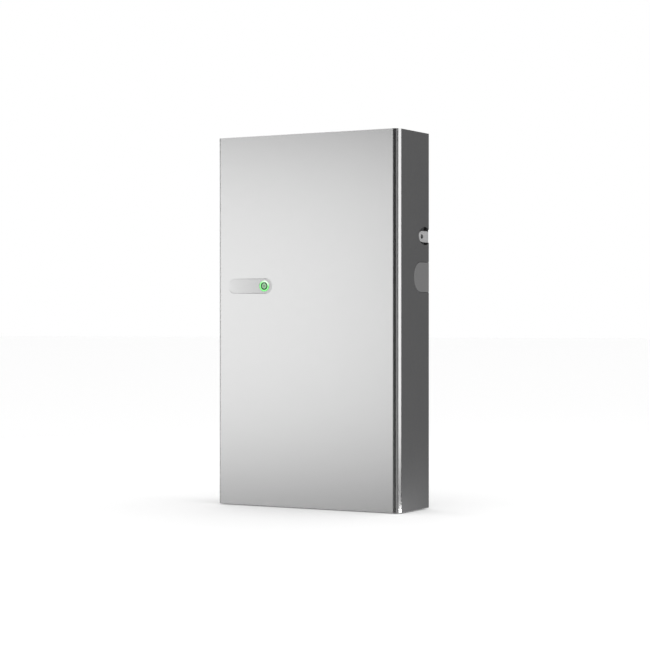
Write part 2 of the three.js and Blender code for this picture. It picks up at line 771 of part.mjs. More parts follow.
function moduleClamp() {
  const back = MODULE_Y - MODULE.depth / 2 - GAP;
  const z = (MODULE_ZS[0] + MODULE_ZS[1]) / 2;
  const [left, right, inset] = [-246, 186, 10];
  const [stripHalf, ribHalf] = [14, 3];
  const strip = box([left, back - 2, z - stripHalf], [right, back, z + stripHalf]);
  const rib = box([left + inset, back - 4, z - ribHalf], [right - inset, back - 1, z + ribHalf]);
  return join(strip, rib);
}

// A board on four posts. Each part on it is given as [x, z, width, height, how far it stands out].
function circuitBoard(low, high, back, parts) {
  const front = back - BOARD;
  const inset = 8;
  const postRadius = 3.5;
  const solids = [box([low[0], front, low[1]], [high[0], back, high[1]])];
  for (const x of [low[0] + inset, high[0] - inset]) {
    for (const z of [low[1] + inset, high[1] - inset]) {
      solids.push(bar("y", postRadius, back - 0.5, BAY_REAR - GAP, [x, z], 10));
    }
  }
  for (const [x, z, width, height, tall] of parts) {
    const [halfX, halfZ] = [width / 2, height / 2];
    solids.push(box([x - halfX, front - tall, z - halfZ], [x + halfX, front + 0.5, z + halfZ]));
  }
  return join(...solids);
}

function mainFuse() {
  const back = BAY_REAR - GAP;
  const [left, right, z] = [90, 180, 714];
  const tubeRadius = 9;
  const base = box([left, back - 22, z - 14], [right, back, z + 14]);
  const tube = bar("x", tubeRadius, left + 14, right - 14, [back - 30, z]);
  const clips = [left + 12, right - 18].map((x) =>
    box([x, back - 34, z - 6], [x + 6, back - 20, z + 6]),
  );
  return join(base, tube, ...clips);
}

// One microinverter: a finned case with hanging ears and two cable sockets, centred on the origin.
function microinverter() {
  const { width, height, depth } = INVERTER;
  const ear = 12;
  const finPitch = 20;
  const socketX = 45;
  const bodyHalf = height / 2 - ear;
  const body = box([-width / 2, -depth / 2 + 4, -bodyHalf], [width / 2, depth / 2, bodyHalf]);
  const earX = width / 2 - 20;
  const ears = box([-earX, depth / 2 - 3, -height / 2], [earX, depth / 2, height / 2]);
  const fins = [];
  for (let index = -3; index <= 3; index += 1) {
    const x = index * finPitch;
    fins.push(box([x - 2, -depth / 2, -bodyHalf + 14], [x + 2, 0, bodyHalf - 14]));
  }
  const sockets = [-socketX, socketX].map((x) => bar("z", 8, -height / 2 + 2, -bodyHalf + 1, [x, 2], 8));
  return join(body, ears, ...fins, ...sockets);
}

function inverterPlate() {
  const half = PLATE_HEIGHT / 2;
  const plate = box([-LID_X + 8, -PLATE_THICKNESS, -half], [LID_X - 8, -GAP, half]);
  const [windowX, halfX, halfZ] = [INVERTER_PITCH / 2, 22, 45];
  const windows = [-windowX, windowX].map((x) =>
    box([x - halfX, -PLATE_THICKNESS - 1, -halfZ], [x + halfX, 1, halfZ]),
  );
  return cut(plate, ...windows);
}

function controllerHousing() {
  const back = LID_FRONT - GAP;
  const [left, right, bottom, top] = [20, 210, 545, 625];
  const [inset, edge] = [12, 10];
  const body = box([left, back - 24, bottom], [right, back, top]);
  const raised = box(
    [left + inset, back - 30, bottom + edge],
    [right - inset, back - 20, top - edge],
  );
  const sockets = [50, 90, 130, 170].map((x) =>
    box([x - 9, back - 16, bottom - 7], [x + 9, back - 6, bottom + 1]),
  );
  return join(body, raised, ...sockets);
}

// ---- Wiring compartment ----
function terminalBlock() {
  const back = BAY_REAR - GAP;
  const poles = 6;
  const pitch = 20;
  const [left, bottom, top] = [-160, 88, 134];
  const solids = [box([left, back - 34, bottom], [left + poles * pitch, back, top])];
  for (let index = 0; index <= poles; index += 1) {
    const x = left + index * pitch;
    solids.push(box([x - 1, back - 40, bottom + 4], [x + 1, back - 30, top - 4]));
  }
  for (let index = 0; index < poles; index += 1) {
    const at = [left + (index + 0.5) * pitch, (bottom + top) / 2];
    solids.push(bar("y", 5, back - 36, back - 30, at, 8));
  }
  return join(...solids);
}

function groundBar() {
  const back = BAY_REAR - GAP;
  const [left, right, z] = [30, 150, 103];
  const screwCount = 6;
  const pitch = 14;
  const strip = box([left, back - 22, z - 7], [right, back - 14, z + 7]);
  const feet = [left + 4, right - 14].map((x) =>
    box([x, back - 16, z - 5], [x + 10, back, z + 5]),
  );
  const screws = [];
  for (let index = 0; index < screwCount; index += 1) {
    screws.push(bar("y", 4, back - 26, back - 20, [left + 24 + index * pitch, z], 8));
  }
  return join(strip, ...feet, ...screws);
}

// A conduit hub with its locknut, turned about its own axis through the enclosure's floor.
function conduitHub() {
  const barrel = 20;
  const collar = 24;
  const locknut = 22;
  const top = 58;
  const profile = [
    [HUB_BORE, HUB_BOTTOM],
    [barrel, HUB_BOTTOM],
    [barrel, 34],
    [collar, 37],
    [collar, BOX_FLOOR - GAP],
    [HUB_RADIUS, BOX_FLOOR - GAP],
    [HUB_RADIUS, BOX_FLOOR + TUB_WALL + GAP],
    [locknut, BOX_FLOOR + TUB_WALL + GAP],
    [locknut, top],
    [HUB_BORE, top],
    [HUB_BORE, HUB_BOTTOM],
  ];
  return turned(profile, 16);
}

function hubPlug() {
  const radius = HUB_BORE - RUNNING;
  const body = turned(
    [
      [0, HUB_BOTTOM + 1],
      [radius, HUB_BOTTOM + 1],
      [radius, 40],
      [0, 40],
    ],
    16,
  );
  return cut(body, box([-4, -4, HUB_BOTTOM], [4, 4, HUB_BOTTOM + 7]));
}

// ---- Status light and button ----
function statusHousing() {
  const half = 24;
  const wall = 3;
  const collarRoom = COLLAR_RADIUS + 1;
  const stemRoom = STEM_RADIUS + 0.6;
  const back = LID_FRONT - GAP;
  const body = box(
    [BUTTON_X - half, HOUSING_SHELF, STATUS_Z - half],
    [BUTTON_X + half, back, STATUS_Z + half],
  );
  const sleeve = bar("y", RING_INNER - GAP, BUTTON_FLOOR_Y - 0.2, HOUSING_SHELF + 1, STATUS_AT, 24);
  const guide = bar("y", BUTTON_RADIUS + 0.3, FRONT_Y, SPRING_SEAT - 1, STATUS_AT, 24);
  const collarSpace = bar("y", collarRoom, HOUSING_SHELF + 4, SPRING_SEAT, STATUS_AT, 16);
  const inside = half - wall;
  const cavity = box(
    [BUTTON_X - inside, SPRING_SEAT + wall, STATUS_Z - inside],
    [BUTTON_X + inside, back + 1, STATUS_Z + inside],
  );
  const stemHole = bar("y", stemRoom, SPRING_SEAT - 1, SPRING_SEAT + 4, STATUS_AT, 12);
  return cut(join(body, sleeve), guide, collarSpace, cavity, stemHole);
}

function lightRing() {
  return cut(
    bar("y", RING_OUTER, RING_FRONT, RING_BACK, STATUS_AT, 24),
    bar("y", RING_INNER, RING_FRONT - 1, RING_BACK + 1, STATUS_AT, 24),
  );
}

function statusButton() {
  const cap = bar("y", BUTTON_RADIUS, BUTTON_FLOOR_Y - 0.6, COLLAR_FRONT + 1, STATUS_AT, 24);
  const collar = bar("y", COLLAR_RADIUS, COLLAR_FRONT, COLLAR_FRONT + COLLAR_THICKNESS, STATUS_AT);
  const stem = bar("y", STEM_RADIUS, COLLAR_FRONT + 2, SPRING_SEAT + 1.5, STATUS_AT, 10);
  const dish = bar("y", DISH_RADIUS, BUTTON_FLOOR_Y - 1, BUTTON_FLOOR_Y - 0.2, STATUS_AT, 12);
  return cut(join(cap, collar, stem), dish);
}

function buttonSpring() {
  const wireRadius = 0.5;
  const start = COLLAR_FRONT + COLLAR_THICKNESS + wireRadius + 0.1;
  const end = SPRING_SEAT - wireRadius - 0.1;
  const turns = 4;
  const coilRadius = 5.6;
  const stepsPerTurn = 8;
  const points = [];
  for (let step = 0; step <= turns * stepsPerTurn; step += 1) {
    const angle = (2 * Math.PI * step) / stepsPerTurn;
    const along = step / (turns * stepsPerTurn);
    points.push(
      new THREE.Vector3(
        BUTTON_X + coilRadius * Math.cos(angle),
        start + along * (end - start),
        STATUS_Z + coilRadius * Math.sin(angle),
      ),
    );
  }
  const wire = new THREE.Shape();
  wire.absarc(0, 0, wireRadius, 0, 2 * Math.PI, false);
  return toSolid(
    new THREE.ExtrudeGeometry(wire, {
      steps: turns * stepsPerTurn,
      extrudePath: new THREE.CatmullRomCurve3(points),
      curveSegments: 3,
      bevelEnabled: false,
    }),
  );
}

function ledBoard() {
  const back = LID_FRONT - 4;
  const half = 18;
  const board = box(
    [BUTTON_X - half, back - BOARD, STATUS_Z - half],
    [BUTTON_X + half, back, STATUS_Z + half],
  );
  const pads = [-10, 10].map((x) =>
    box([BUTTON_X + x - 3, back - 4, STATUS_Z - 3], [BUTTON_X + x + 3, back - 1, STATUS_Z + 3]),
  );
  const contact = bar("y", 3.5, back - 6, back - 1, STATUS_AT, 12);
  return join(board, ...pads, contact);
}

// ---- Disconnect switch, its pocket and its door ----
function disconnectSwitchBody() {
  const high = POCKET_FLOOR_X - GAP;
  const low = 190;
  const [halfY, halfZ, lugHalf] = [27, 30, 5];
  const body = box([low, KNOB_Y - halfY, DOOR_Z - halfZ], [high, KNOB_Y + halfY, DOOR_Z + halfZ]);
  const lugs = [];
  for (const y of [KNOB_Y - halfY - 4, KNOB_Y + halfY + 4]) {
    for (const z of [DOOR_Z - 18, DOOR_Z, DOOR_Z + 18]) {
      lugs.push(box([low + 10, y - lugHalf, z - lugHalf], [low + 22, y + lugHalf, z + lugHalf]));
    }
  }
  const shaftBore = bar("x", SHAFT_RADIUS + RUNNING, SHAFT_END - 1, high + 1, [KNOB_Y, DOOR_Z]);
  return cut(join(body, ...lugs), shaftBore);
}

function disconnectPocket() {
  const rear = BAY_REAR - GAP;
  const flangeX = TUB_X + GAP;
  const flangeOut = flangeX + 2.5;
  const cup = prismX(tongue(DOOR_Y, rear, DOOR_Z, POCKET_RADIUS), POCKET_FLOOR_X, flangeOut, 8);
  const flangeOutline = tongue(DOOR_Y, REAR_Y - 0.5, DOOR_Z, POCKET_RADIUS + 5);
  const flange = prismX(flangeOutline, flangeX, flangeOut, 8);
  const hollow = prismX(
    tongue(DOOR_Y, rear - POCKET_WALL, DOOR_Z, POCKET_RADIUS - POCKET_WALL),
    POCKET_FLOOR_X + POCKET_WALL,
    flangeX + 10,
    8,
  );
  const shaftSpan = [POCKET_FLOOR_X - 1, POCKET_FLOOR_X + 5];
  const shaftHole = bar("x", SHAFT_RADIUS + RUNNING, ...shaftSpan, [KNOB_Y, DOOR_Z]);
  const lugs = [];
  const spans = [
    [KNUCKLE_HALF + 0.5, HINGE_HALF],
    [-HINGE_HALF, -KNUCKLE_HALF - 0.5],
  ];
  for (const [low, high] of spans) {
    lugs.push(bar("z", KNUCKLE_RADIUS, DOOR_Z + low, DOOR_Z + high, [HINGE_X, HINGE_Y]));
    lugs.push(
      box(
        [flangeX + 1, HINGE_Y - KNUCKLE_RADIUS, DOOR_Z + low],
        [HINGE_X, HINGE_Y + KNUCKLE_RADIUS, DOOR_Z + high],
      ),
    );
  }
  const pinHole = bar(
    "z",
    HINGE_PIN_RADIUS + 0.05,
    DOOR_Z - HINGE_HALF - 1,
    DOOR_Z + HINGE_HALF + 1,
    [HINGE_X, HINGE_Y],
    16,
  );
  return cut(join(cut(join(cup, flange), hollow), ...lugs), shaftHole, pinHole);
}

function hingePin() {
  return bar("z", HINGE_PIN_RADIUS, DOOR_Z - HINGE_HALF, DOOR_Z + HINGE_HALF, [HINGE_X, HINGE_Y], 16);
}

function disconnectDoor() {
  const inner = HALF_WIDTH - 3;
  const plate = prismX(tongue(DOOR_Y, REAR_Y, DOOR_Z, DOOR_RADIUS), inner, HALF_WIDTH, 10);
  const skirtEnd = REAR_Y - 16;
  const skirt = cut(
    prismX(tongue(DOOR_Y, skirtEnd, DOOR_Z, DOOR_RADIUS), inner - 8, inner + 1, 10),
    prismX(tongue(DOOR_Y, skirtEnd + 1, DOOR_Z, DOOR_RADIUS - 2), inner - 9, inner, 10),
  );
  const knuckleAt = [HINGE_X, HINGE_Y];
  const knuckle = bar("z", KNUCKLE_RADIUS, DOOR_Z - KNUCKLE_HALF, DOOR_Z + KNUCKLE_HALF, knuckleAt);
  const web = box(
    [HINGE_X, HINGE_Y - KNUCKLE_RADIUS, DOOR_Z - KNUCKLE_HALF],
    [inner + 1, HINGE_Y + KNUCKLE_RADIUS, DOOR_Z + KNUCKLE_HALF],
  );
  const pinHole = bar(
    "z",
    HINGE_PIN_RADIUS + RUNNING,
    DOOR_Z - KNUCKLE_HALF - 1,
    DOOR_Z + KNUCKLE_HALF + 1,
    [HINGE_X, HINGE_Y],
    16,
  );
  return cut(join(plate, skirt, knuckle, web), pinHole);
}

function disconnectKnob() {
  const baseX = POCKET_FLOOR_X + POCKET_WALL + 0.4;
  const [discThickness, gripEnd, gripHalfY, gripHalfZ] = [6, 21, 18, 6];
  const disc = bar("x", KNOB_RADIUS, baseX, baseX + discThickness, [KNOB_Y, DOOR_Z], 20);
  const grip = box(
    [baseX + discThickness - 1, KNOB_Y - gripHalfY, DOOR_Z - gripHalfZ],
    [baseX + gripEnd, KNOB_Y + gripHalfY, DOOR_Z + gripHalfZ],
  );
  const shaft = bar("x", SHAFT_RADIUS, SHAFT_END, baseX + 1, [KNOB_Y, DOOR_Z]);
  return join(disc, grip, shaft);
}

// ---- Assembly ----
function wallBracketGroup() {
  const group = new THREE.Group();
  group.add(
    named("bracket_upper_rail", upperRail(), bracketSteel),
    named("bracket_lower_rail", lowerRail(), bracketSteel),
    named("bracket_strap_left", strap(), bracketSteel, [-STRAP_X, 0, 0]),
    named("bracket_strap_right", strap(), bracketSteel, [STRAP_X, 0, 0]),
  );
  const seat = EAR_OUTER_X - COUNTERBORE_DEPTH;
  for (const [name, side] of [["left", -1], ["right", 1]]) {
    group.add(
      named(`bracket_ear_${name}`, bracketEar(side), earSteel),
      named(`ear_screw_${name}`, earScrew(side), screwSteel, [side * seat, EAR_SCREW_Y, EAR_Z]),
    );
  }
  return group;
}

function enclosureGroup() {
  const group = new THREE.Group();
  group.add(
    named("enclosure_tub", enclosureTub(), enclosurePaint),
    named("wiring_box", wiringBox(), enclosurePaint),
    named("hanger_hook", hangerHook(), bracketSteel),
    named("enclosure_gasket", enclosureGasket(), rubber),
    named("enclosure_lid", enclosureLid(), castAluminium),
    named("pressure_vent", pressureVent(), blackPlastic, [0, LID_FRONT, PRESSURE_VENT_Z]),
  );
  let number = 1;
  for (const z of LID_SCREW_ZS) {
    for (const side of [-1, 1]) {
      group.add(named(`lid_screw_${number}`, panScrew(), screwSteel, [side * SCREW_X, LID_FRONT, z]));
      number += 1;
    }
  }
  return group;
}

function powerGroup() {
  const group = new THREE.Group();
  let number = 1;
  for (const z of MODULE_ZS) {
    for (const x of MODULE_XS) {
      group.add(named(`cell_module_${number}`, cellModule(), cellBlue, [x, MODULE_Y, z]));
      number += 1;
    }
  }
  const linkX = [-64, 4];
  group.add(
    named("module_clamp", moduleClamp(), bracketSteel),
    named("busbar_lower", busbar([linkX[0], 222], [linkX[1], 238]), copper),
    named("busbar_upper", busbar([linkX[0], 630], [linkX[1], 646]), copper),
    named("main_fuse", mainFuse(), blackPlastic),
    named(
      "battery_monitor_board",
      circuitBoard([-230, 720], [60, 900], 62, [
        [-180, 860, 60, 30, 12],
        [-60, 850, 40, 40, 3],
        [20, 870, 40, 20, 16],
        [-150, 770, 90, 24, 8],
        [-10, 770, 50, 50, 20],
      ]),
      boardGreen,
    ),
  );
  return group;
}

function inverterGroup() {
  const group = new THREE.Group();
  const rowNames = ["lower", "upper"];
  let number = 1;
  INVERTER_ROW_ZS.forEach((z, row) => {
    const plateName = `inverter_plate_${rowNames[row]}`;
    group.add(named(plateName, inverterPlate(), castAluminium, [0, LID_FRONT, z]));
    for (let column = -1; column <= 1; column += 1) {
      const y = LID_FRONT - PLATE_THICKNESS - GAP - INVERTER.depth / 2;
      const position = [column * INVERTER_PITCH, y, z];
      group.add(named(`microinverter_${number}`, microinverter(), inverterGrey, position));
      number += 1;
    }
  });
  group.add(named("controller_housing", controllerHousing(), blackPlastic));
  return group;
}

function wiringGroup() {
  const group = new THREE.Group();
  group.add(
    named("wiring_cover", wiringCover(), castAluminium),
    named("ac_terminal_block", terminalBlock(), blackPlastic),
    named("ground_bar", groundBar(), copper),
    named(
      "control_wiring_board",
      circuitBoard([172, 82], [246, 150], 62, [
        [209, 98, 56, 16, 12],
        [209, 132, 30, 20, 4],
      ]),
      boardGreen,
    ),
  );
  for (const [name, x] of [["left", HUB_XS[0]], ["right", HUB_XS[1]]]) {
    const side = Math.sign(x);
    group.add(
      named(`wiring_screw_${name}`, panScrew(), screwSteel, [side * SCREW_X, LID_FRONT, WIRING_SCREW_Z]),
      named(`conduit_hub_${name}`, conduitHub(), castAluminium, [x, HUB_Y, 0]),
      named(`hub_plug_${name}`, hubPlug(), blackPlastic, [x, HUB_Y, 0]),
    );
  }
  return group;
}

function statusGroup() {
  const group = new THREE.Group();
  group.add(
    named("status_housing", statusHousing(), blackPlastic),
    named("light_ring", lightRing(), litGreen),
    named("led_board", ledBoard(), boardGreen),
    named("button_spring", buttonSpring(), springSteel),
    named("status_button", statusButton(), litGreen),
  );
  return group;
}

function disconnectGroup() {
  const group = new THREE.Group();
  group.add(
    named("disconnect_switch_body", disconnectSwitchBody(), blackPlastic),
    named("disconnect_pocket", disconnectPocket(), blackPlastic),
    named("door_hinge_pin", hingePin(), screwSteel),
    named("disconnect_door", disconnectDoor(), doorPlastic),
    named("disconnect_knob", disconnectKnob(), knobRed),
  );
  return group;
}

function coverGroup() {
  const earNotch = earNotchOutline();
  const doorNotch = tongue(DOOR_Y, REAR_Y + 5, DOOR_Z, DOOR_NOTCH_RADIUS);
  const group = new THREE.Group();
  group.add(
    named("front_panel", frontPanel(), silverPaint),
    named("side_panel_left", sidePanel(-1, [earNotch]), darkPaint),
    named("side_panel_right", sidePanel(1, [earNotch, doorNotch]), darkPaint),
    named("top_panel", topPanel(), darkPaint),
  );
  return group;
}

const wallBattery = new THREE.Group();
wallBattery.name = "wall_battery_unit";
wallBattery.add(
  wallBracketGroup(),
  enclosureGroup(),
  powerGroup(),
  inverterGroup(),
  wiringGroup(),
  statusGroup(),
  disconnectGroup(),
  coverGroup(),
);

export default wallBattery;
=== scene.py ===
"""Looks of the wall battery unit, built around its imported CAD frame. Lengths are in metres."""

import json
import math

import bmesh
import bpy
from mathutils import Matrix, Vector
from mathutils.geometry import delaunay_2d_cdt

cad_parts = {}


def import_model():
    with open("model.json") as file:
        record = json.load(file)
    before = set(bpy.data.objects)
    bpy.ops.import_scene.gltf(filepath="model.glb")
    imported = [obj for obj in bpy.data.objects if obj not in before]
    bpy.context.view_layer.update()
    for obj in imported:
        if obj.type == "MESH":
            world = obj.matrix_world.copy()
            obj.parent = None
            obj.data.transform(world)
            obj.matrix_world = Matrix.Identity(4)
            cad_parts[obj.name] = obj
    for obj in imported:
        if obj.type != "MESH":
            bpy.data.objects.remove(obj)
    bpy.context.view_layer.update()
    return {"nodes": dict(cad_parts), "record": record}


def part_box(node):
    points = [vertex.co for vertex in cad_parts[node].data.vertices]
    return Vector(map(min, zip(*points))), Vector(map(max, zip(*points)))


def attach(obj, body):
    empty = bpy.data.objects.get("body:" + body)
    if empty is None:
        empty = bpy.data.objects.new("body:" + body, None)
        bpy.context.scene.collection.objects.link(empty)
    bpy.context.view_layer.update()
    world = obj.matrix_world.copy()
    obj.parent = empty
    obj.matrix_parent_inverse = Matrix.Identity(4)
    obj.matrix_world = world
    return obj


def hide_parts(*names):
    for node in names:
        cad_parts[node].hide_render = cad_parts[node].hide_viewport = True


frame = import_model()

MM = 0.001

# ---- Places that the frame gives ----
front_low, front_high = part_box("front_panel")
HALF_WIDTH = front_high.x
HEIGHT = front_high.z
FRONT_Y = front_low.y
CORNER_RADIUS = front_high.y - front_low.y
REAR_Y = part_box("side_panel_right")[1].y
COVER_BOTTOM = front_low.z

# ---- Sizes repeated from the part ----
FRONT_SKIN = 1.6 * MM
HEM_DEPTH = 10 * MM
STUD_X = 238 * MM
STUD_ZS = (250 * MM, 885 * MM)
STUD_RADIUS = 5 * MM
CUP_RADIUS = 8 * MM
CUP_DEPTH = 11 * MM
RECESS_LEFT = -237 * MM
RECESS_RIGHT = -102 * MM
RECESS_RADIUS = 19.35 * MM
RECESS_DEPTH = 9 * MM
RECESS_CURVE = 1.25
LID_THICKNESS = 3 * MM
LID_RIB_ZS = (268 * MM, 870 * MM)
HUB_BORE = 13 * MM


def centre_of(node):
    low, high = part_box(node)
    return (low + high) / 2


STATUS = centre_of("light_ring")
RING_OUTER = (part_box("light_ring")[1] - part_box("light_ring")[0]).x / 2
RING_INNER = 10.2 * MM
RING_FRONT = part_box("light_ring")[0].y
RING_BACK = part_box("light_ring")[1].y
BUTTON_RADIUS = 7.2 * MM
BUTTON_DISH = 2.4 * MM
BUTTON_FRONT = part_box("status_button")[0].y


# ---- Mesh helpers ----
def add_object(name, mesh):
    made = bpy.data.objects.new(name, mesh)
    bpy.context.scene.collection.objects.link(made)
    return made


def mesh_from(name, points, faces):
    mesh = bpy.data.meshes.new(name)
    mesh.from_pydata([tuple(p) for p in points], [], faces)
    mesh.update()
    return mesh


def tidy_mesh(mesh, angle=30):
    """Merges doubled points, turns every face outwards and shades smooth up to the angle, in degrees."""
    work = bmesh.new()
    work.from_mesh(mesh)
    bmesh.ops.remove_doubles(work, verts=work.verts, dist=0.01 * MM)
    bmesh.ops.recalc_face_normals(work, faces=work.faces)
    work.to_mesh(mesh)
    work.free()
    mesh.shade_smooth()
    mesh.set_sharp_from_angle(angle=math.radians(angle))


def apply_modifiers(piece):
    graph = bpy.context.evaluated_depsgraph_get()
    made = bpy.data.meshes.new_from_object(piece.evaluated_get(graph))
    old = piece.data
    piece.modifiers.clear()
    piece.data = made
    bpy.data.meshes.remove(old)


def bevel(piece, width, segments=2, angle=40):
    modifier = piece.modifiers.new("bevel", "BEVEL")
    modifier.width = width
    modifier.segments = segments
    modifier.limit_method = "ANGLE"
    modifier.angle_limit = math.radians(angle)
    modifier.harden_normals = False
    apply_modifiers(piece)
    tidy_mesh(piece.data)
    return piece


def merge(name, pieces):
    """One object that holds the meshes of several, which are removed."""
    work = bmesh.new()
    for piece in pieces:
        piece.data.transform(piece.matrix_world)
        work.from_mesh(piece.data)
    mesh = bpy.data.meshes.new(name)
    work.to_mesh(mesh)
    work.free()
    for piece in pieces:
        bpy.data.objects.remove(piece)
    tidy_mesh(mesh)
    return add_object(name, mesh)


# ---- Outlines, as lists of 2-D points ----
def arc(centre, radius, start, end, steps):
    """Points on an arc between two angles, in degrees."""
    points = []
    for step in range(steps + 1):
        angle = math.radians(start + (end - start) * step / steps)
        points.append((centre[0] + radius * math.cos(angle), centre[1] + radius * math.sin(angle)))
    return points


def circle(centre, radius, steps=48):
    return arc(centre, radius, 0, 360, steps)[:-1]


def pill(left, right, height, radius, steps=32):
    return arc((left, height), radius, 90, 270, steps) + arc((right, height), radius, -90, 90, steps)


def rectangle(low, high):
    return [low, (high[0], low[1]), high, (low[0], high[1])]


def rounded_rectangle(low, high, radius, steps=6):
    points = []
    corners = [
        (high[0] - radius, high[1] - radius, 0),
        (low[0] + radius, high[1] - radius, 90),
        (low[0] + radius, low[1] + radius, 180),
        (high[0] - radius, low[1] + radius, 270),
    ]
    for a, b, start in corners:
        points += arc((a, b), radius, start, start + 90, steps)
    return points


# How an outline's two axes turn into each plane, and the axis that a plate is thick along.
PLANES = {
    "xz": Matrix(((1, 0, 0), (0, 0, -1), (0, 1, 0))),
    "yz": Matrix(((0, 0, 1), (1, 0, 0), (0, 1, 0))),
    "xy": Matrix(((1, 0, 0), (0, 1, 0), (0, 0, 1))),
}
THICK_AXES = {"xz": Vector((0, 1, 0)), "yz": Vector((1, 0, 0)), "xy": Vector((0, 0, 1))}


def plate(name, loops, plane, low, high, edge=0.3 * MM, rounding=2):
    """A flat piece between two heights along the plane's third axis, with rounded edges. The loops after
    the first are holes."""
    curve = bpy.data.curves.new(name, "CURVE")
    curve.dimensions = "2D"
    curve.fill_mode = "BOTH"
    for loop in loops:
        spline = curve.splines.new("POLY")
        spline.points.add(len(loop) - 1)
        for point, (a, b) in zip(spline.points, loop):
            point.co = (a, b, 0, 1)
        spline.use_cyclic_u = True
    curve.extrude = (high - low) / 2 - edge
    curve.bevel_depth = edge
    curve.bevel_resolution = rounding
    curve.offset = -edge
    holder = add_object(name, curve)
    graph = bpy.context.evaluated_depsgraph_get()
    mesh = bpy.data.meshes.new_from_object(holder.evaluated_get(graph))
    bpy.data.objects.remove(holder)
    middle = (low + high) / 2
    offset = THICK_AXES[plane] * middle
    mesh.transform(Matrix.Translation(offset) @ PLANES[plane].to_4x4())
    tidy_mesh(mesh)
    return add_object(name, mesh)


def turned(name, profile, axis, centre, steps=64, closed=False):
    """A body turned about an axis. The profile holds radius and height pairs."""
    points = []
    faces = []
    count = len(profile)
    for step in range(steps):
        angle = 2 * math.pi * step / steps
        for radius, height in profile:
            a = radius * math.cos(angle)
            b = radius * math.sin(angle)
            points.append({"x": (height, a, b), "y": (a, height, b), "z": (a, b, height)}[axis])
    last = count if closed else count - 1
    for step in range(steps):
        after = (step + 1) % steps
        for index in range(last):
            following = (index + 1) % count
            faces.append(
                (
                    step * count + index,
                    after * count + index,
                    after * count + following,
                    step * count + following,
                )
            )
    mesh = mesh_from(name, points, faces)
    mesh.transform(Matrix.Translation(Vector(centre)))
    work = bmesh.new()
    work.from_mesh(mesh)
    bmesh.ops.remove_doubles(work, verts=work.verts, dist=0.005 * MM)
    bmesh.ops.dissolve_degenerate(work, edges=work.edges, dist=0.001 * MM)
    work.to_mesh(mesh)
    work.free()
    tidy_mesh(mesh)
    return add_object(name, mesh)


def block(name, low, high, radius, segments=3):
    """A box with rounded edges."""
    low = Vector(low)
    high = Vector(high)
    work = bmesh.new()
    bmesh.ops.create_cube(work, size=1)
    size = high - low
    for vertex in work.verts:
        vertex.co = Vector(v * s for v, s in zip(vertex.co, size)) + (low + high) / 2
    mesh = bpy.data.meshes.new(name)
    work.to_mesh(mesh)
    work.free()
    return bevel(add_object(name, mesh), radius, segments)


# ---- Material helpers ----
class Nodes:
    """The node tree of one material, with short ways to add and join nodes."""

    def __init__(self, name):
        self.material = bpy.data.materials.new(name)
        self.material.use_nodes = True
        self.tree = self.material.node_tree
        self.shader = self.tree.nodes["Principled BSDF"]
        coordinates = self.tree.nodes.new("ShaderNodeTexCoord")
        self.place = coordinates.outputs["Object"]

    def add(self, kind, **values):
        node = self.tree.nodes.new(kind)
        for name, value in values.items():
            if name in node.inputs:
                node.inputs[name].default_value = value
            else:
                setattr(node, name, value)
        return node

    def link(self, source, target):
        self.tree.links.new(source, target)

    def noise(self, scale, detail=4, roughness=0.55, place=None):
        node = self.add("ShaderNodeTexNoise", Scale=scale, Detail=detail, Roughness=roughness)
        self.link(place or self.place, node.inputs["Vector"])
        return node.outputs["Fac"]

    def ramp(self, source, low, high, start=0.0, end=1.0):
        """Maps a value between start and end to one between low and high."""
        node = self.add("ShaderNodeMapRange")
        node.inputs["From Min"].default_value = start
        node.inputs["From Max"].default_value = end
        node.inputs["To Min"].default_value = low
        node.inputs["To Max"].default_value = high
        self.link(source, node.inputs["Value"])
        return node.outputs["Result"]

    def shade(self, source, dark, light):
        """A colour between two, by a value from 0 to 1."""
        node = self.add("ShaderNodeMix", data_type="RGBA")
        self.link(source, node.inputs["Factor"])
        node.inputs[6].default_value = (*dark, 1)
        node.inputs[7].default_value = (*light, 1)
        return node.outputs[2]

    def bump(self, source, strength, distance):
        node = self.add("ShaderNodeBump", Strength=strength, Distance=distance)
        self.link(source, node.inputs["Height"])
        self.link(node.outputs["Normal"], self.shader.inputs["Normal"])

    def set(self, **values):
        for name, value in values.items():
            self.shader.inputs[name.replace("_", " ")].default_value = value


def tint(color, factor):
    return tuple(min(channel * factor, 1) for channel in color)


def coated(
    name, color, roughness, metallic, grain, depth, variation=0.04, specular=0.5, patchiness=0.07
):
    """Paint or plastic: fine grain in the surface, faint blotches of tone and of gloss."""
    nodes = Nodes(name)
    tone = nodes.noise(9, 3)
    nodes.link(
        nodes.shade(tone, tint(color, 1 - variation), tint(color, 1 + variation)),
        nodes.shader.inputs["Base Color"],
    )
    gloss = nodes.noise(55, 4)
    dull = nodes.ramp(gloss, roughness * (1 - patchiness), roughness * (1 + patchiness), 0.3, 0.7)
    nodes.link(dull, nodes.shader.inputs["Roughness"])
    nodes.set(Metallic=metallic, Specular_IOR_Level=specular)
    nodes.bump(nodes.noise(grain, 3, 0.6), 0.25, depth)
    return nodes.material


def silver_paint():
    return coated(
        "silver_paint", (0.66, 0.66, 0.66), 0.225, 1.0, 1600, 0.007 * MM, 0.008, patchiness=0.02
    )


def dark_paint():
    return coated("dark_paint", (0.062, 0.062, 0.063), 0.5, 0.0, 1300, 0.03 * MM, 0.05, 0.4)


def door_plastic():
    return coated("door_plastic", (0.12, 0.12, 0.121), 0.55, 0.0, 1500, 0.03 * MM, 0.03, 0.4)


def ear_steel():
    return coated("ear_steel", (0.48, 0.48, 0.485), 0.4, 0.5, 700, 0.02 * MM, 0.05)


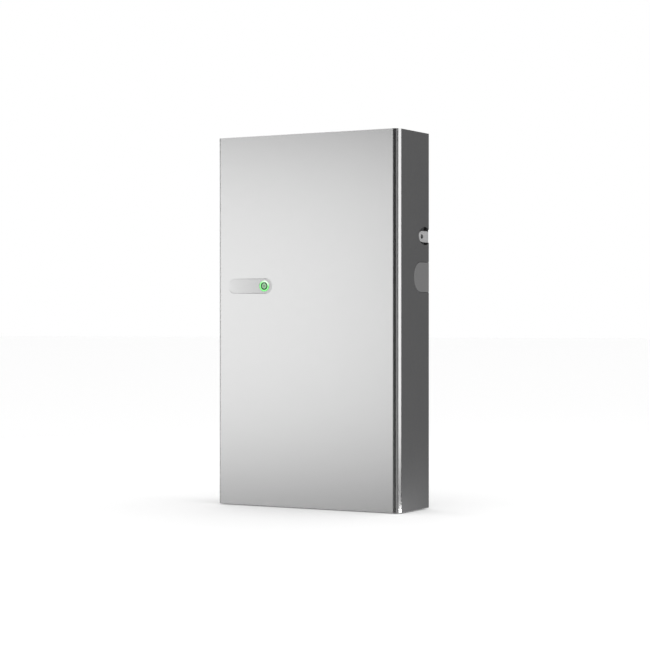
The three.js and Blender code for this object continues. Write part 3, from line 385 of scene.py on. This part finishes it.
def button_green():
    nodes = Nodes("button_green")
    tone = nodes.noise(400, 2)
    color = nodes.shade(tone, (0.20, 0.40, 0.21), (0.26, 0.48, 0.27))
    nodes.link(color, nodes.shader.inputs["Base Color"])
    nodes.set(Roughness=0.3, Coat_Weight=0.4, Coat_Roughness=0.1)
    nodes.link(color, nodes.shader.inputs["Emission Color"])
    nodes.set(Emission_Strength=0.2)
    return nodes.material


def mark_grey():
    return coated("mark_grey", (0.2, 0.16, 0.2), 0.4, 0.0, 900, 0.01 * MM)


def light_green():
    nodes = Nodes("status_light")
    tone = nodes.noise(300, 2)
    color = nodes.shade(tone, (0.10, 0.60, 0.16), (0.16, 0.74, 0.22))
    nodes.link(color, nodes.shader.inputs["Base Color"])
    nodes.set(Roughness=0.22, Coat_Weight=0.6, Coat_Roughness=0.08)
    nodes.link(color, nodes.shader.inputs["Emission Color"])
    nodes.set(Emission_Strength=0.3)
    return nodes.material


def ring_green_painted_highlight():
    """The ring's green plastic with a painted highlight: its colour, and the glow that follows it, turns
    nearly white towards its upper right.
    """
    nodes = Nodes("ring_green_painted_highlight")
    place = nodes.add("ShaderNodeTexCoord")
    axes = nodes.add("ShaderNodeSeparateXYZ")
    nodes.link(place.outputs["Generated"], axes.inputs[0])
    # Painted highlight: the colour goes pale towards the ring's upper right, where light would catch it,
    # and glows with it.
    toward_highlight = nodes.add("ShaderNodeMath", operation="MULTIPLY_ADD")
    nodes.link(axes.outputs["Z"], toward_highlight.inputs[0])
    toward_highlight.inputs[1].default_value = 2.0
    nodes.link(axes.outputs["X"], toward_highlight.inputs[2])
    painted_highlight_share = nodes.ramp(toward_highlight.outputs[0], 0, 1, 1.75, 2.5)
    color = nodes.shade(painted_highlight_share, (0.20, 0.80, 0.22), (0.72, 1.0, 0.72))
    nodes.link(color, nodes.shader.inputs["Base Color"])
    nodes.set(Roughness=0.22, Coat_Weight=0.6, Coat_Roughness=0.08)
    nodes.link(color, nodes.shader.inputs["Emission Color"])
    nodes.set(Emission_Strength=0.35)
    return nodes.material


def simple(name, color, roughness, metallic=0.0):
    return coated(name, color, roughness, metallic, 900, 0.03 * MM, 0.06)


SLOT_MATERIALS = {
    "silver_paint": silver_paint(),
    "dark_paint": dark_paint(),
    "door_plastic": door_plastic(),
    "ear_steel": ear_steel(),
    "bracket_steel": simple("bracket_steel", (0.04, 0.04, 0.041), 0.6),
    "screw_steel": simple("screw_steel", (0.55, 0.56, 0.57), 0.3, 1.0),
    "cast_aluminium": simple("cast_aluminium", (0.36, 0.37, 0.38), 0.5, 0.6),
    "enclosure_paint": simple("enclosure_paint", (0.055, 0.055, 0.057), 0.55),
    "black_plastic": simple("black_plastic", (0.02, 0.021, 0.023), 0.5),
    "seal_rubber": simple("seal_rubber", (0.012, 0.012, 0.013), 0.85),
    "cell_case": simple("cell_case", (0.03, 0.12, 0.3), 0.45),
    "copper": simple("copper", (0.6, 0.28, 0.14), 0.3, 1.0),
    "circuit_board": simple("circuit_board", (0.02, 0.11, 0.05), 0.4),
    "inverter_case": simple("inverter_case", (0.055, 0.058, 0.065), 0.5, 0.3),
    "knob_plastic": simple("knob_plastic", (0.42, 0.03, 0.02), 0.4),
    "status_light": light_green(),
    "spring_steel": simple("spring_steel", (0.5, 0.51, 0.52), 0.3, 1.0),
}
node_slot = {row["node"]: row["material_slot"] for row in frame["record"]["subparts"]}
node_body = {
    node: body for body, nodes in frame["record"]["behaviour"]["bodies"].items() for node in nodes
}
TUB_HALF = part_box("wiring_box")[1].x
for node_name, holder in frame["nodes"].items():
    holder.data.materials.clear()
    holder.data.materials.append(SLOT_MATERIALS[node_slot[node_name]])


def dress(piece, slot, body, *nodes):
    """Gives a piece its material and its body, and hides the CAD nodes that it stands for. Its shading
    follows its broad faces, so that a rounded edge doesn't bend the look of a flat one."""
    weighted = piece.modifiers.new("weighted", "WEIGHTED_NORMAL")
    weighted.keep_sharp = True
    apply_modifiers(piece)
    piece.data.materials.clear()
    piece.data.materials.append(SLOT_MATERIALS[slot])
    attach(piece, body)
    if nodes:
        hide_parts(*nodes)
    return piece


# ---- Finished copies of CAD solids ----
def finished(node, width=0.4 * MM, segments=2, angle=35):
    """A copy of a CAD solid with softly rounded edges, which stands for its node."""
    piece = add_object(node + "_finished", frame["nodes"][node].data.copy())
    work = bmesh.new()
    work.from_mesh(piece.data)
    bmesh.ops.remove_doubles(work, verts=work.verts, dist=0.01 * MM)
    bmesh.ops.dissolve_limit(
        work, angle_limit=math.radians(1), verts=work.verts, edges=work.edges
    )
    work.to_mesh(piece.data)
    work.free()
    bevel(piece, width, segments, angle)
    return dress(piece, node_slot[node], node_body[node], node)


# ---- Cover ----
def recess_fall(x, z):
    """How far the front skin falls back at a point. The recess is a pill that falls away to the right,
    ever more steeply, inside a rounded rim."""
    left = RECESS_LEFT + RECESS_RADIUS
    right = RECESS_RIGHT - RECESS_RADIUS
    nearest = min(max(x, left), right)
    inside = RECESS_RADIUS - math.hypot(x - nearest, z - STATUS.z)
    rim = 1.1 * MM
    outside_share = 0.35
    across = min(max((inside + rim * outside_share) / rim, 0), 1)
    wall = across * across * (3 - 2 * across)
    along = min(max((x - RECESS_LEFT) / (RECESS_RIGHT - RECESS_LEFT), 0), 1)
    return RECESS_DEPTH * along**RECESS_CURVE * wall


def recess_rings():
    """Points on pills round the recess, close together at its rim, with none inside the ring's hole."""
    left = RECESS_LEFT + RECESS_RADIUS
    right = RECESS_RIGHT - RECESS_RADIUS
    hole = RING_OUTER + 0.7 * MM
    across = 36
    points = []
    for offset in (1.2, 0.6, 0.3, 0.1, -0.1, -0.3, -0.5, -0.7, -0.9, -1.3, -2.2, -5, -9, -13, -17):
        radius = RECESS_RADIUS + offset * MM
        ring = pill(left, right, STATUS.z, radius, 40)
        for step in range(1, across):
            x = left + (right - left) * step / across
            ring += [(x, STATUS.z - radius), (x, STATUS.z + radius)]
        points += [p for p in ring if math.hypot(p[0] - STATUS.x, p[1] - STATUS.z) > hole]
    return points


def front_flat():
    """Points and faces of the flat of the front skin, pressed back at the recess and open at the ring."""
    flat = HALF_WIDTH - CORNER_RADIUS
    outline = rectangle((-flat, COVER_BOTTOM), (flat, HEIGHT))
    hole = circle((STATUS.x, STATUS.z), RING_OUTER + 0.5 * MM, 72)
    points = outline + hole + recess_rings()
    edges = []
    for start, count in ((0, len(outline)), (len(outline), len(hole))):
        edges += [(start + index, start + (index + 1) % count) for index in range(count)]
    flat_points, _, faces, _, _, _ = delaunay_2d_cdt([Vector(p) for p in points], edges, [], 0, 1e-7)
    centre = Vector((STATUS.x, STATUS.z))
    kept = []
    for face in faces:
        middle = sum((flat_points[index] for index in face), Vector((0, 0))) / len(face)
        if (middle - centre).length > RING_OUTER:
            kept.append(tuple(face))
    return [(p.x, FRONT_Y + recess_fall(p.x, p.y), p.y) for p in flat_points], kept


def front_skin():
    points, faces = front_flat()
    flat = HALF_WIDTH - CORNER_RADIUS
    steps = 20
    for side in (-1, 1):
        rows = []
        for step in range(steps + 1):
            angle = math.pi / 2 * step / steps
            x = side * (flat + CORNER_RADIUS * math.sin(angle))
            y = FRONT_Y + CORNER_RADIUS * (1 - math.cos(angle))
            rows.append(len(points))
            points += [(x, y, COVER_BOTTOM), (x, y, HEIGHT)]
        faces += [(low, high, high + 1, low + 1) for low, high in zip(rows, rows[1:])]
    mesh = mesh_from("skin", points, faces)
    tidy_mesh(mesh)
    if mesh.polygons[0].normal.y > 0:
        mesh.flip_normals()
    skin = add_object("skin", mesh)
    solidify = skin.modifiers.new("skin", "SOLIDIFY")
    solidify.thickness = FRONT_SKIN
    solidify.offset = -1
    apply_modifiers(skin)
    return bevel(skin, 0.45 * MM, 3, 60)


def front_panel():
    """The silver front: rolled skin, bottom hem and the four cups that snap over the studs."""
    flat = HALF_WIDTH - CORNER_RADIUS
    inner = FRONT_Y + FRONT_SKIN
    hem_outline = rectangle((-flat, inner - 0.3 * MM), (flat, FRONT_Y + HEM_DEPTH))
    pieces = [front_skin(), plate("hem", [hem_outline], "xy", COVER_BOTTOM, COVER_BOTTOM + FRONT_SKIN)]
    for side in (-1, 1):
        for z in STUD_ZS:
            profile = [
                (CUP_RADIUS + 2.5 * MM, inner - 0.2 * MM),
                (CUP_RADIUS + 2.5 * MM, inner + 1.2 * MM),
                (CUP_RADIUS, inner + 2 * MM),
                (CUP_RADIUS, inner + CUP_DEPTH - 0.5 * MM),
                (CUP_RADIUS - 0.5 * MM, inner + CUP_DEPTH),
                (STUD_RADIUS + 1 * MM, inner + CUP_DEPTH),
                (STUD_RADIUS + 0.4 * MM, inner + CUP_DEPTH - 0.6 * MM),
                (STUD_RADIUS + 0.4 * MM, inner - 0.2 * MM),
            ]
            pieces.append(turned("cup", profile, "y", (side * STUD_X, 0, z), 40, True))
    return dress(merge("front_panel_skin", pieces), "silver_paint", "front_cover", "front_panel")


# ---- Status light and button ----
def light_ring():
    """A round-shouldered ring of clear green plastic."""
    shoulder = 1.2 * MM
    profile = [(RING_OUTER, RING_BACK)]
    profile += arc((RING_OUTER - shoulder, RING_FRONT + shoulder), shoulder, 0, -90, 8)
    profile += arc((RING_INNER + shoulder, RING_FRONT + shoulder), shoulder, -90, -180, 8)
    profile.append((RING_INNER, RING_BACK))
    ring = turned("light_ring_lens", profile, "y", (STATUS.x, 0, STATUS.z), 96, True)
    dress(ring, "status_light", "wall_unit", "light_ring")
    # The ring's material carries a painted highlight towards its upper right.
    ring.data.materials[0] = ring_green_painted_highlight()


def status_button():
    """The cap with a small dish, on a collar and stem, and a generic power mark on its face."""
    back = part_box("status_button")[1].y
    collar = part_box("light_ring")[1].y + 4.4 * MM
    edge = 0.8 * MM
    profile = [(0, BUTTON_FRONT + 0.4 * MM), (BUTTON_DISH, BUTTON_FRONT + 0.35 * MM)]
    profile += [(BUTTON_DISH + 0.4 * MM, BUTTON_FRONT)]
    profile += arc((BUTTON_RADIUS - edge, BUTTON_FRONT + edge), edge, -90, 0, 6)
    profile += [
        (BUTTON_RADIUS, collar),
        (9.5 * MM, collar),
        (9.5 * MM, collar + 2.5 * MM),
        (2.4 * MM, collar + 2.5 * MM),
        (2.4 * MM, back),
        (0, back),
    ]
    cap = turned("status_button_cap", profile, "y", (STATUS.x, 0, STATUS.z), 64)
    dress(cap, "status_light", "status_button", "status_button")
    cap.data.materials[0] = button_green()

    dot = plate(
        "status_mark_dot",
        [circle((STATUS.x, STATUS.z), BUTTON_DISH, 40)],
        "xz",
        BUTTON_FRONT + 0.1 * MM,
        BUTTON_FRONT + 0.6 * MM,
        0.1 * MM,
    )
    dress(dot, "black_plastic", "status_button")
    dot.data.materials[0] = mark_grey()
    tick_low = (STATUS.x - 0.7 * MM, STATUS.z + 3 * MM)
    tick_high = (STATUS.x + 0.7 * MM, STATUS.z + 6.2 * MM)
    tick = plate(
        "status_mark_tick",
        [rounded_rectangle(tick_low, tick_high, 0.6 * MM)],
        "xz",
        BUTTON_FRONT - 0.2 * MM,
        BUTTON_FRONT + 0.3 * MM,
        0.1 * MM,
    )
    dress(tick, "status_light", "status_button")


def sleeve_mark():
    """The short lit bar on the sleeve above the button, which completes the generic power mark."""
    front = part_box("status_housing")[0].y
    low = (STATUS.x - 1 * MM, STATUS.z + BUTTON_RADIUS + 0.5 * MM)
    high = (STATUS.x + 1 * MM, STATUS.z + RING_INNER - 0.3 * MM)
    outline = rounded_rectangle(low, high, 0.6 * MM)
    mark = plate("sleeve_mark", [outline], "xz", front - 0.2 * MM, front + 0.4 * MM, 0.1 * MM)
    dress(mark, "status_light", "wall_unit")


# ---- Fasteners ----
def hexagon(centre, across_flats):
    corner = across_flats / math.sqrt(3)
    return arc(centre, corner, 0, 360, 6)[:-1]


def socket_screw(node, axis):
    """A button-head screw with a hexagon socket, in the place of its CAD node. Its head points out of the
    unit: to -Y, or away from the middle in X."""
    low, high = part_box(node)
    centre = (low + high) / 2
    if axis == "y":
        outer, inner, direction, at = low.y, high.y, 1, (centre.x, centre.z)
        plane, spot = "xz", (centre.x, 0, centre.z)
    else:
        side = 1 if centre.x > 0 else -1
        outer = high.x if side > 0 else low.x
        inner = low.x if side > 0 else high.x
        direction, at, plane, spot = -side, (centre.y, centre.z), "yz", (0, centre.y, centre.z)
    head_radius = (high.z - low.z) / 2
    head = 3.0 * MM if axis == "y" else 2.4 * MM
    socket = 1.7 * MM
    face = sorted((outer, outer + direction * head))
    rim = plate(
        "rim",
        [circle(at, head_radius, 40), hexagon(at, head_radius * 0.9)],
        plane,
        face[0],
        face[1],
        0.5 * MM,
        3,
    )
    shank_radius = head_radius * 0.46
    floor_at = outer + direction * socket
    under = outer + direction * (head - 0.05 * MM)
    profile = [
        (0, floor_at),
        (head_radius * 0.7, floor_at),
        (head_radius * 0.7, under),
        (shank_radius, under + direction * 0.3 * MM),
        (shank_radius, inner - direction * 0.6 * MM),
        (shank_radius * 0.7, inner),
        (0, inner),
    ]
    shank = turned("shank", profile, axis, spot, 32)
    return dress(merge(node + "_socket", [rim, shank]), "screw_steel", "wall_unit", node)


def ear_washer_painted_shade(name):
    """A black ring that fills the ear's counterbore around the screw's socket. Its black is painted shade:
    it stands in for the shade in the gap round the screw head.
    """
    low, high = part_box("ear_screw_" + name)
    side = 1 if high.x > 0 else -1
    face = high.x if side > 0 else low.x
    outer = 5.7 * MM
    inner = 2.2 * MM
    crown = face + side * 0.2 * MM
    back = face - side * 2.5 * MM
    head = 4.5 * MM
    profile = [
        (outer, back),
        (outer, face - side * 0.7 * MM),
        (outer - 0.8 * MM, crown),
        (inner, crown),
        (inner, face + side * 0.05 * MM),
        (head, face + side * 0.05 * MM),
        (head, back),
    ]
    at = (0, (low.y + high.y) / 2, (low.z + high.z) / 2)
    ring = turned("ear_washer_painted_shade_" + name, profile, "x", at, 48, True)
    # The black rubber finish here is painted shade for the counterbore's gap.
    dress(ring, "seal_rubber", "wall_unit")


def screws():
    for number in range(1, 5):
        socket_screw(f"lid_screw_{number}", "y")
    for side in ("left", "right"):
        socket_screw("wiring_screw_" + side, "y")
        socket_screw("ear_screw_" + side, "x")
        # The black ring in each ear's counterbore is painted shade.
        ear_washer_painted_shade(side)


# ---- Enclosure ----
def lid_holes():
    low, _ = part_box("enclosure_lid")
    holes = []
    for number in range(1, 5):
        at = centre_of(f"lid_screw_{number}")
        holes.append(circle((at.x, at.z), 2.8 * MM, 24))
    vent = centre_of("pressure_vent")
    holes.append(circle((vent.x, vent.z), 8.3 * MM, 40))
    return holes


def cover_stud(x, z, seat):
    """A headed peg that a cup of the front panel snaps over."""
    tip = FRONT_Y + FRONT_SKIN + 5 * MM
    length = seat - tip
    profile = [
        (8 * MM, 1 * MM),
        (8 * MM, -1.6 * MM),
        (7.4 * MM, -2.2 * MM),
        (4 * MM, -6 * MM),
        (4 * MM, -length + 6 * MM),
        (STUD_RADIUS, -length + 4 * MM),
        (STUD_RADIUS, -length + 2.5 * MM),
    ]
    profile += arc((2.6 * MM, -length + 2.4 * MM), 2.4 * MM, 0, -90, 8)
    profile.append((0, -length))
    return turned("stud", profile, "y", (x, seat, z), 40)


def enclosure_lid():
    low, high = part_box("enclosure_lid")
    back = high.y
    front = back - LID_THICKNESS
    outline = rounded_rectangle((low.x, low.z), (high.x, high.z), 6 * MM)
    pieces = [plate("sheet", [outline] + lid_holes(), "xz", front, back, 0.5 * MM, 3)]
    inset = 60 * MM
    width = 4 * MM
    bead = [
        rounded_rectangle(
            (low.x + margin, low.z + margin), (high.x - margin, high.z - margin), corner
        )
        for margin, corner in ((inset, 14 * MM), (inset + width, 11 * MM))
    ]
    pieces.append(plate("bead", bead, "xz", front - 0.7 * MM, front + 1 * MM, 0.6 * MM, 3))
    reach = 40 * MM
    half = 4 * MM
    for z in LID_RIB_ZS:
        ridge = rounded_rectangle((low.x + reach, z - half), (high.x - reach, z + half), 3.9 * MM)
        pieces.append(plate("ridge", [ridge], "xz", front - 3 * MM, front + 1 * MM, 1.6 * MM, 4))
    for side in (-1, 1):
        for z in STUD_ZS:
            pieces.append(cover_stud(side * STUD_X, z, front))
    return dress(merge("enclosure_lid_sheet", pieces), "cast_aluminium", "wall_unit", "enclosure_lid")


def pressure_vent():
    low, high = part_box("pressure_vent")
    middle = (low + high) / 2
    radius = (high.x - low.x) / 2
    profile = [(0, low.y + 0.6 * MM), (radius * 0.55, low.y)]
    profile += arc((radius - 1.5 * MM, low.y + 1.5 * MM), 1.5 * MM, -90, 0, 6)
    profile += [
        (radius, low.y + 5.8 * MM),
        (7.8 * MM, low.y + 5.8 * MM),
        (7.8 * MM, high.y - 0.8 * MM),
        (7 * MM, high.y),
        (0, high.y),
    ]
    pieces = [turned("cap", profile, "y", (middle.x, 0, middle.z), 56)]
    ribs = 12
    for index in range(ribs):
        angle = 2 * math.pi * index / ribs
        x = middle.x + radius * 0.98 * math.cos(angle)
        z = middle.z + radius * 0.98 * math.sin(angle)
        shape = circle((x, z), 1.1 * MM, 10)
        pieces.append(plate("rib", [shape], "xz", low.y + 1.2 * MM, low.y + 5.6 * MM, 0.25 * MM))
    return dress(merge("pressure_vent_cap", pieces), "black_plastic", "wall_unit", "pressure_vent")


def rivet(x, y, z):
    profile = [(2.2 * MM, y), (2.0 * MM, y + 0.6 * MM), (1.3 * MM, y + 1.1 * MM), (0, y + 1.3 * MM)]
    return turned("rivet", profile, "y", (x, 0, z), 16)


def tub_back_details():
    """Pressed beads, rivets and a blank rating plate on the back of the enclosure."""
    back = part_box("enclosure_tub")[1].y
    upright_half = 13 * MM
    level_half = 9 * MM
    outlines = [
        rounded_rectangle(
            (x - upright_half, 230 * MM), (x + upright_half, 720 * MM), 12.9 * MM, 10
        )
        for x in (-150 * MM, -50 * MM, 50 * MM, 150 * MM)
    ] + [
        rounded_rectangle((-200 * MM, z - level_half), (200 * MM, z + level_half), 8.9 * MM, 10)
        for z in (872 * MM, 912 * MM)
    ]
    beads = [
        plate("bead", [outline], "xz", back - 0.5 * MM, back + 1.6 * MM, 1.5 * MM, 4)
        for outline in outlines
    ]
    dress(merge("tub_back_beads", beads), "enclosure_paint", "wall_unit")

    rivets = []
    edge = TUB_HALF - 9 * MM
    lowest = 205 * MM
    pitch = 91 * MM
    upright_steps = 8
    level_steps = 6
    for x in (-edge, edge):
        for step in range(upright_steps + 1):
            rivets.append(rivet(x, back, lowest + step * pitch))
    for step in range(1, level_steps):
        for z in (lowest, lowest + upright_steps * pitch):
            rivets.append(rivet(-edge + step * 2 * edge / level_steps, back, z))
    dress(merge("tub_rivets", rivets), "screw_steel", "wall_unit")

    plate_low = (-45 * MM, 60 * MM)
    plate_high = (45 * MM, 100 * MM)
    rating = [
        plate(
            "plate",
            [rounded_rectangle(plate_low, plate_high, 4 * MM)],
            "xz",
            back - 0.3 * MM,
            back + 0.7 * MM,
            0.25 * MM,
        )
    ]
    for x in (plate_low[0] + 5 * MM, plate_high[0] - 5 * MM):
        for z in (plate_low[1] + 5 * MM, plate_high[1] - 5 * MM):
            rating.append(rivet(x, back + 0.6 * MM, z))
    dress(merge("blank_rating_plate", rating), "screw_steel", "wall_unit")


# ---- Inverters and controller ----
def microinverter_mesh():
    """One finned inverter about its own centre, facing -Y: rounded case, fins, ears and two sockets."""
    low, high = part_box("microinverter_1")
    half_x, half_y, half_z = (high - low) / 2
    ear = 12 * MM
    case_z = half_z - ear
    pieces = [
        block(
            "case", (-half_x, -half_y + 4 * MM, -case_z), (half_x, half_y - 0.2 * MM, case_z), 5 * MM, 4
        )
    ]
    ear_x = half_x - 20 * MM
    holes = [
        circle((side * (ear_x - 14 * MM), top * (half_z - 5.5 * MM)), 3 * MM, 20)
        for side in (-1, 1)
        for top in (-1, 1)
    ]
    outline = rounded_rectangle((-ear_x, -half_z), (ear_x, half_z), 5 * MM)
    pieces.append(plate("ears", [outline] + holes, "xz", half_y - 3 * MM, half_y, 0.4 * MM))
    pitch = 9.6 * MM
    fins = 7
    for index in range(-fins, fins + 1):
        x = index * pitch
        reach = case_z - 14 * MM
        pieces.append(
            block(
                "fin",
                (x - 1.3 * MM, -half_y, -reach),
                (x + 1.3 * MM, -half_y + 6 * MM, reach),
                0.9 * MM,
            )
        )
    for x in (-45 * MM, 45 * MM):
        profile = [
            (6.2 * MM, -half_z + 2 * MM),
            (7.6 * MM, -half_z + 2 * MM),
            (8 * MM, -half_z + 2.6 * MM),
            (8 * MM, -half_z + 5 * MM),
            (7 * MM, -half_z + 5.6 * MM),
            (7 * MM, -half_z + 7 * MM),
            (8 * MM, -half_z + 7.6 * MM),
            (8 * MM, -case_z + 2 * MM),
            (6.2 * MM, -case_z + 2 * MM),
        ]
        pieces.append(turned("socket", profile, "z", (x, 2 * MM, 0), 32, True))
    whole = merge("microinverter_detail", pieces)
    mesh = whole.data.copy()
    bpy.data.objects.remove(whole)
    return mesh


def microinverters():
    mesh = microinverter_mesh()
    for number in range(1, 7):
        node = f"microinverter_{number}"
        shape = mesh.copy()
        shape.transform(Matrix.Translation(centre_of(node)))
        dress(add_object(node + "_case", shape), "inverter_case", "wall_unit", node)


def controller_details():
    """The small hoods over the controller's cooling slots, and its four light pipes."""
    low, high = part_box("controller_housing")
    front = low.y
    hoods = []
    for step in range(8):
        x = low.x + 30 * MM + step * 9 * MM
        outline = rounded_rectangle((x - 2 * MM, low.z + 30 * MM), (x + 2 * MM, high.z - 20 * MM), 1.9 * MM)
        hoods.append(plate("hood", [outline], "xz", front - 1.4 * MM, front + 0.5 * MM, 0.9 * MM, 3))
    dress(merge("controller_hoods", hoods), "black_plastic", "wall_unit")
    pipes = []
    for step in range(4):
        x = high.x - 30 * MM - step * 12 * MM
        profile = [
            (2 * MM, front + 0.5 * MM),
            (2 * MM, front - 0.5 * MM),
            (1.2 * MM, front - 1 * MM),
            (0, front - 1.1 * MM),
        ]
        pipes.append(turned("pipe", profile, "y", (x, 0, high.z - 24 * MM), 20))
    dress(merge("controller_light_pipes", pipes), "status_light", "wall_unit")


# ---- Conduit hubs ----
def conduit_hub(side):
    node = "conduit_hub_" + side
    low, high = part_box(node)
    centre = (low + high) / 2
    tub_floor = 48 * MM
    body = [
        (HUB_BORE, low.z + 0.8 * MM),
        (HUB_BORE + 0.8 * MM, low.z),
        (19 * MM, low.z),
        (20 * MM, low.z + 1 * MM),
        (20 * MM, 34 * MM),
        (17 * MM, 36 * MM),
        (HUB_BORE + 3.8 * MM, high.z - 0.5 * MM),
        (HUB_BORE, high.z - 0.5 * MM),
    ]
    pieces = [turned("barrel", body, "z", (centre.x, centre.y, 0), 56, True)]
    at = (centre.x, centre.y)
    hole = circle(at, HUB_BORE + 1 * MM, 40)
    collar = [hexagon(at, 41 * MM), hole]
    pieces.append(plate("collar", collar, "xy", 36 * MM, tub_floor - 0.4 * MM, 0.8 * MM, 3))
    locknut = [hexagon(at, 38 * MM), hole]
    pieces.append(plate("locknut", locknut, "xy", tub_floor + 3.3 * MM, high.z, 0.8 * MM, 3))
    return dress(merge(node + "_fitting", pieces), "cast_aluminium", "wall_unit", node)


# ---- Everything else keeps its CAD shape, with its edges rounded ----
EDGE_WIDTHS = {
    "side_panel_left": 0.4,
    "side_panel_right": 0.4,
    "top_panel": 0.4,
    "enclosure_tub": 0.8,
    "wiring_box": 0.8,
    "hanger_hook": 0.5,
    "bracket_upper_rail": 0.5,
    "bracket_lower_rail": 0.5,
    "bracket_strap_left": 0.4,
    "bracket_strap_right": 0.4,
    "bracket_ear_left": 0.5,
    "bracket_ear_right": 0.5,
    "inverter_plate_lower": 0.6,
    "inverter_plate_upper": 0.6,
    "controller_housing": 1.6,
    "wiring_cover": 0.6,
    "enclosure_gasket": 0.3,
    "status_housing": 0.5,
    "led_board": 0.2,
    "cell_module_1": 1.2,
    "cell_module_2": 1.2,
    "cell_module_3": 1.2,
    "cell_module_4": 1.2,
    "module_clamp": 0.5,
    "busbar_lower": 0.5,
    "busbar_upper": 0.5,
    "main_fuse": 0.8,
    "battery_monitor_board": 0.3,
    "ac_terminal_block": 0.5,
    "ground_bar": 0.5,
    "control_wiring_board": 0.3,
    "hub_plug_left": 0.5,
    "hub_plug_right": 0.5,
    "disconnect_switch_body": 1.0,
    "disconnect_pocket": 0.5,
    "disconnect_door": 0.5,
    "disconnect_knob": 1.4,
}


# ---- Stage ----
DIFFUSE_SKY = 1.0
GLOSSY_SKY = 0.01


def camera():
    azimuth = math.radians(30.06)
    away = Vector((math.sin(azimuth), -math.cos(azimuth), 0))
    right = Vector((math.cos(azimuth), math.sin(azimuth), 0))
    data = bpy.data.cameras.new("camera")
    data.sensor_width = 36
    data.lens = 105.05
    data.clip_end = 200
    made = bpy.data.objects.new("camera", data)
    bpy.context.scene.collection.objects.link(made)
    made.location = Vector((0, REAR_Y, 0.4803)) + away * 5.0936 + right * -0.0335
    made.rotation_euler = (math.radians(90), 0, azimuth)
    bpy.context.scene.camera = made


def softbox(name, azimuth, elevation, distance, width, height, power, aim=(0, 0, 0.5)):
    """An area light seen from the unit at an azimuth from its front, in degrees, and an elevation."""
    light = bpy.data.lights.new(name, "AREA")
    light.shape = "RECTANGLE"
    light.size = width
    light.size_y = height
    light.energy = power
    made = bpy.data.objects.new(name, light)
    bpy.context.scene.collection.objects.link(made)
    turn = math.radians(azimuth)
    rise = math.radians(elevation)
    direction = Vector(
        (math.sin(turn) * math.cos(rise), -math.cos(turn) * math.cos(rise), math.sin(rise))
    )
    made.location = Vector(aim) + direction * distance
    made.rotation_euler = direction.to_track_quat("Z", "Y").to_euler()
    made.visible_camera = False
    return made


def lights():
    softbox("front_left_box", -48.5, 0, 8, 6.92, 2.7, 77, (0, 0, 0.65))
    softbox("front_dim_box", -19.5, 0, 8, 1.54, 2.7, 11.3, (0, 0, 0.65))
    softbox("left_box", -105, 0, 3.0, 2.2, 1.6, 14)
    softbox("right_box", 102, 0, 2.8, 3.0, 2.1, 26.5, (0, 0, 0.95))
    softbox("right_dim_box", 50, 0, 3.4, 1.2, 2.2, 2.6)
    softbox("low_right_box", 90, -25, 0.16, 0.22, 0.05, 0.3, (0.275, 0, 0.03))


def world():
    """The studio's surroundings: white to the camera, soft and even to diffuse surfaces. Reflections see a
    pale floor and ceiling, with a dark band at the height of the horizon."""
    made = bpy.data.worlds.new("studio")
    bpy.context.scene.world = made
    made.use_nodes = True
    made.cycles.sampling_method = "NONE"
    tree = made.node_tree
    background = tree.nodes["Background"]
    background.inputs["Color"].default_value = (1, 1, 1, 1)

    place = tree.nodes.new("ShaderNodeTexCoord")
    axes = tree.nodes.new("ShaderNodeSeparateXYZ")
    tree.links.new(place.outputs["Generated"], axes.inputs[0])

    def band(start, end, brightness):
        ramp = tree.nodes.new("ShaderNodeMapRange")
        ramp.interpolation_type = "SMOOTHSTEP"
        ramp.inputs["From Min"].default_value = math.sin(math.radians(start))
        ramp.inputs["From Max"].default_value = math.sin(math.radians(end))
        ramp.inputs["To Max"].default_value = brightness
        tree.links.new(axes.outputs["Z"], ramp.inputs["Value"])
        return ramp.outputs["Result"]

    def math_node(operation, first, second, third=0.0):
        node = tree.nodes.new("ShaderNodeMath")
        node.operation = operation
        for socket, value in zip(node.inputs, (first, second, third)):
            if isinstance(value, float):
                socket.default_value = value
            else:
                tree.links.new(value, socket)
        return node.outputs[0]

    pale_floor = band(-9, -19, 0.85)
    pale_ceiling = band(10, 35, 0.7)
    reflected = math_node("ADD", math_node("ADD", pale_floor, pale_ceiling), GLOSSY_SKY)
    path = tree.nodes.new("ShaderNodeLightPath")
    glossy = math_node("MULTIPLY", path.outputs["Is Glossy Ray"], reflected)
    diffuse = math_node("MULTIPLY_ADD", path.outputs["Is Diffuse Ray"], DIFFUSE_SKY, glossy)
    total = math_node("ADD", diffuse, path.outputs["Is Camera Ray"])
    tree.links.new(total, background.inputs["Strength"])


def floor():
    size = 60
    mesh = mesh_from(
        "floor",
        [(-size, -size, 0), (size, -size, 0), (size, size, 0), (-size, size, 0)],
        [(0, 1, 2, 3)],
    )
    made = add_object("floor", mesh)
    nodes = Nodes("floor_white")
    nodes.set(Roughness=0.7, Emission_Strength=0.148)
    nodes.shader.inputs["Base Color"].default_value = (0.9, 0.9, 0.9, 1)
    nodes.shader.inputs["Emission Color"].default_value = (1, 1, 1, 1)
    made.data.materials.append(nodes.material)
    made.visible_glossy = False
    made.visible_shadow = False


camera()
world()
floor()
lights()
bpy.context.scene.view_settings.view_transform = "Standard"

front_panel()
light_ring()
status_button()
sleeve_mark()
screws()
enclosure_lid()
pressure_vent()
tub_back_details()
microinverters()
controller_details()
for side_name in ("left", "right"):
    conduit_hub(side_name)
for node_name, width in EDGE_WIDTHS.items():
    finished(node_name, width * MM)
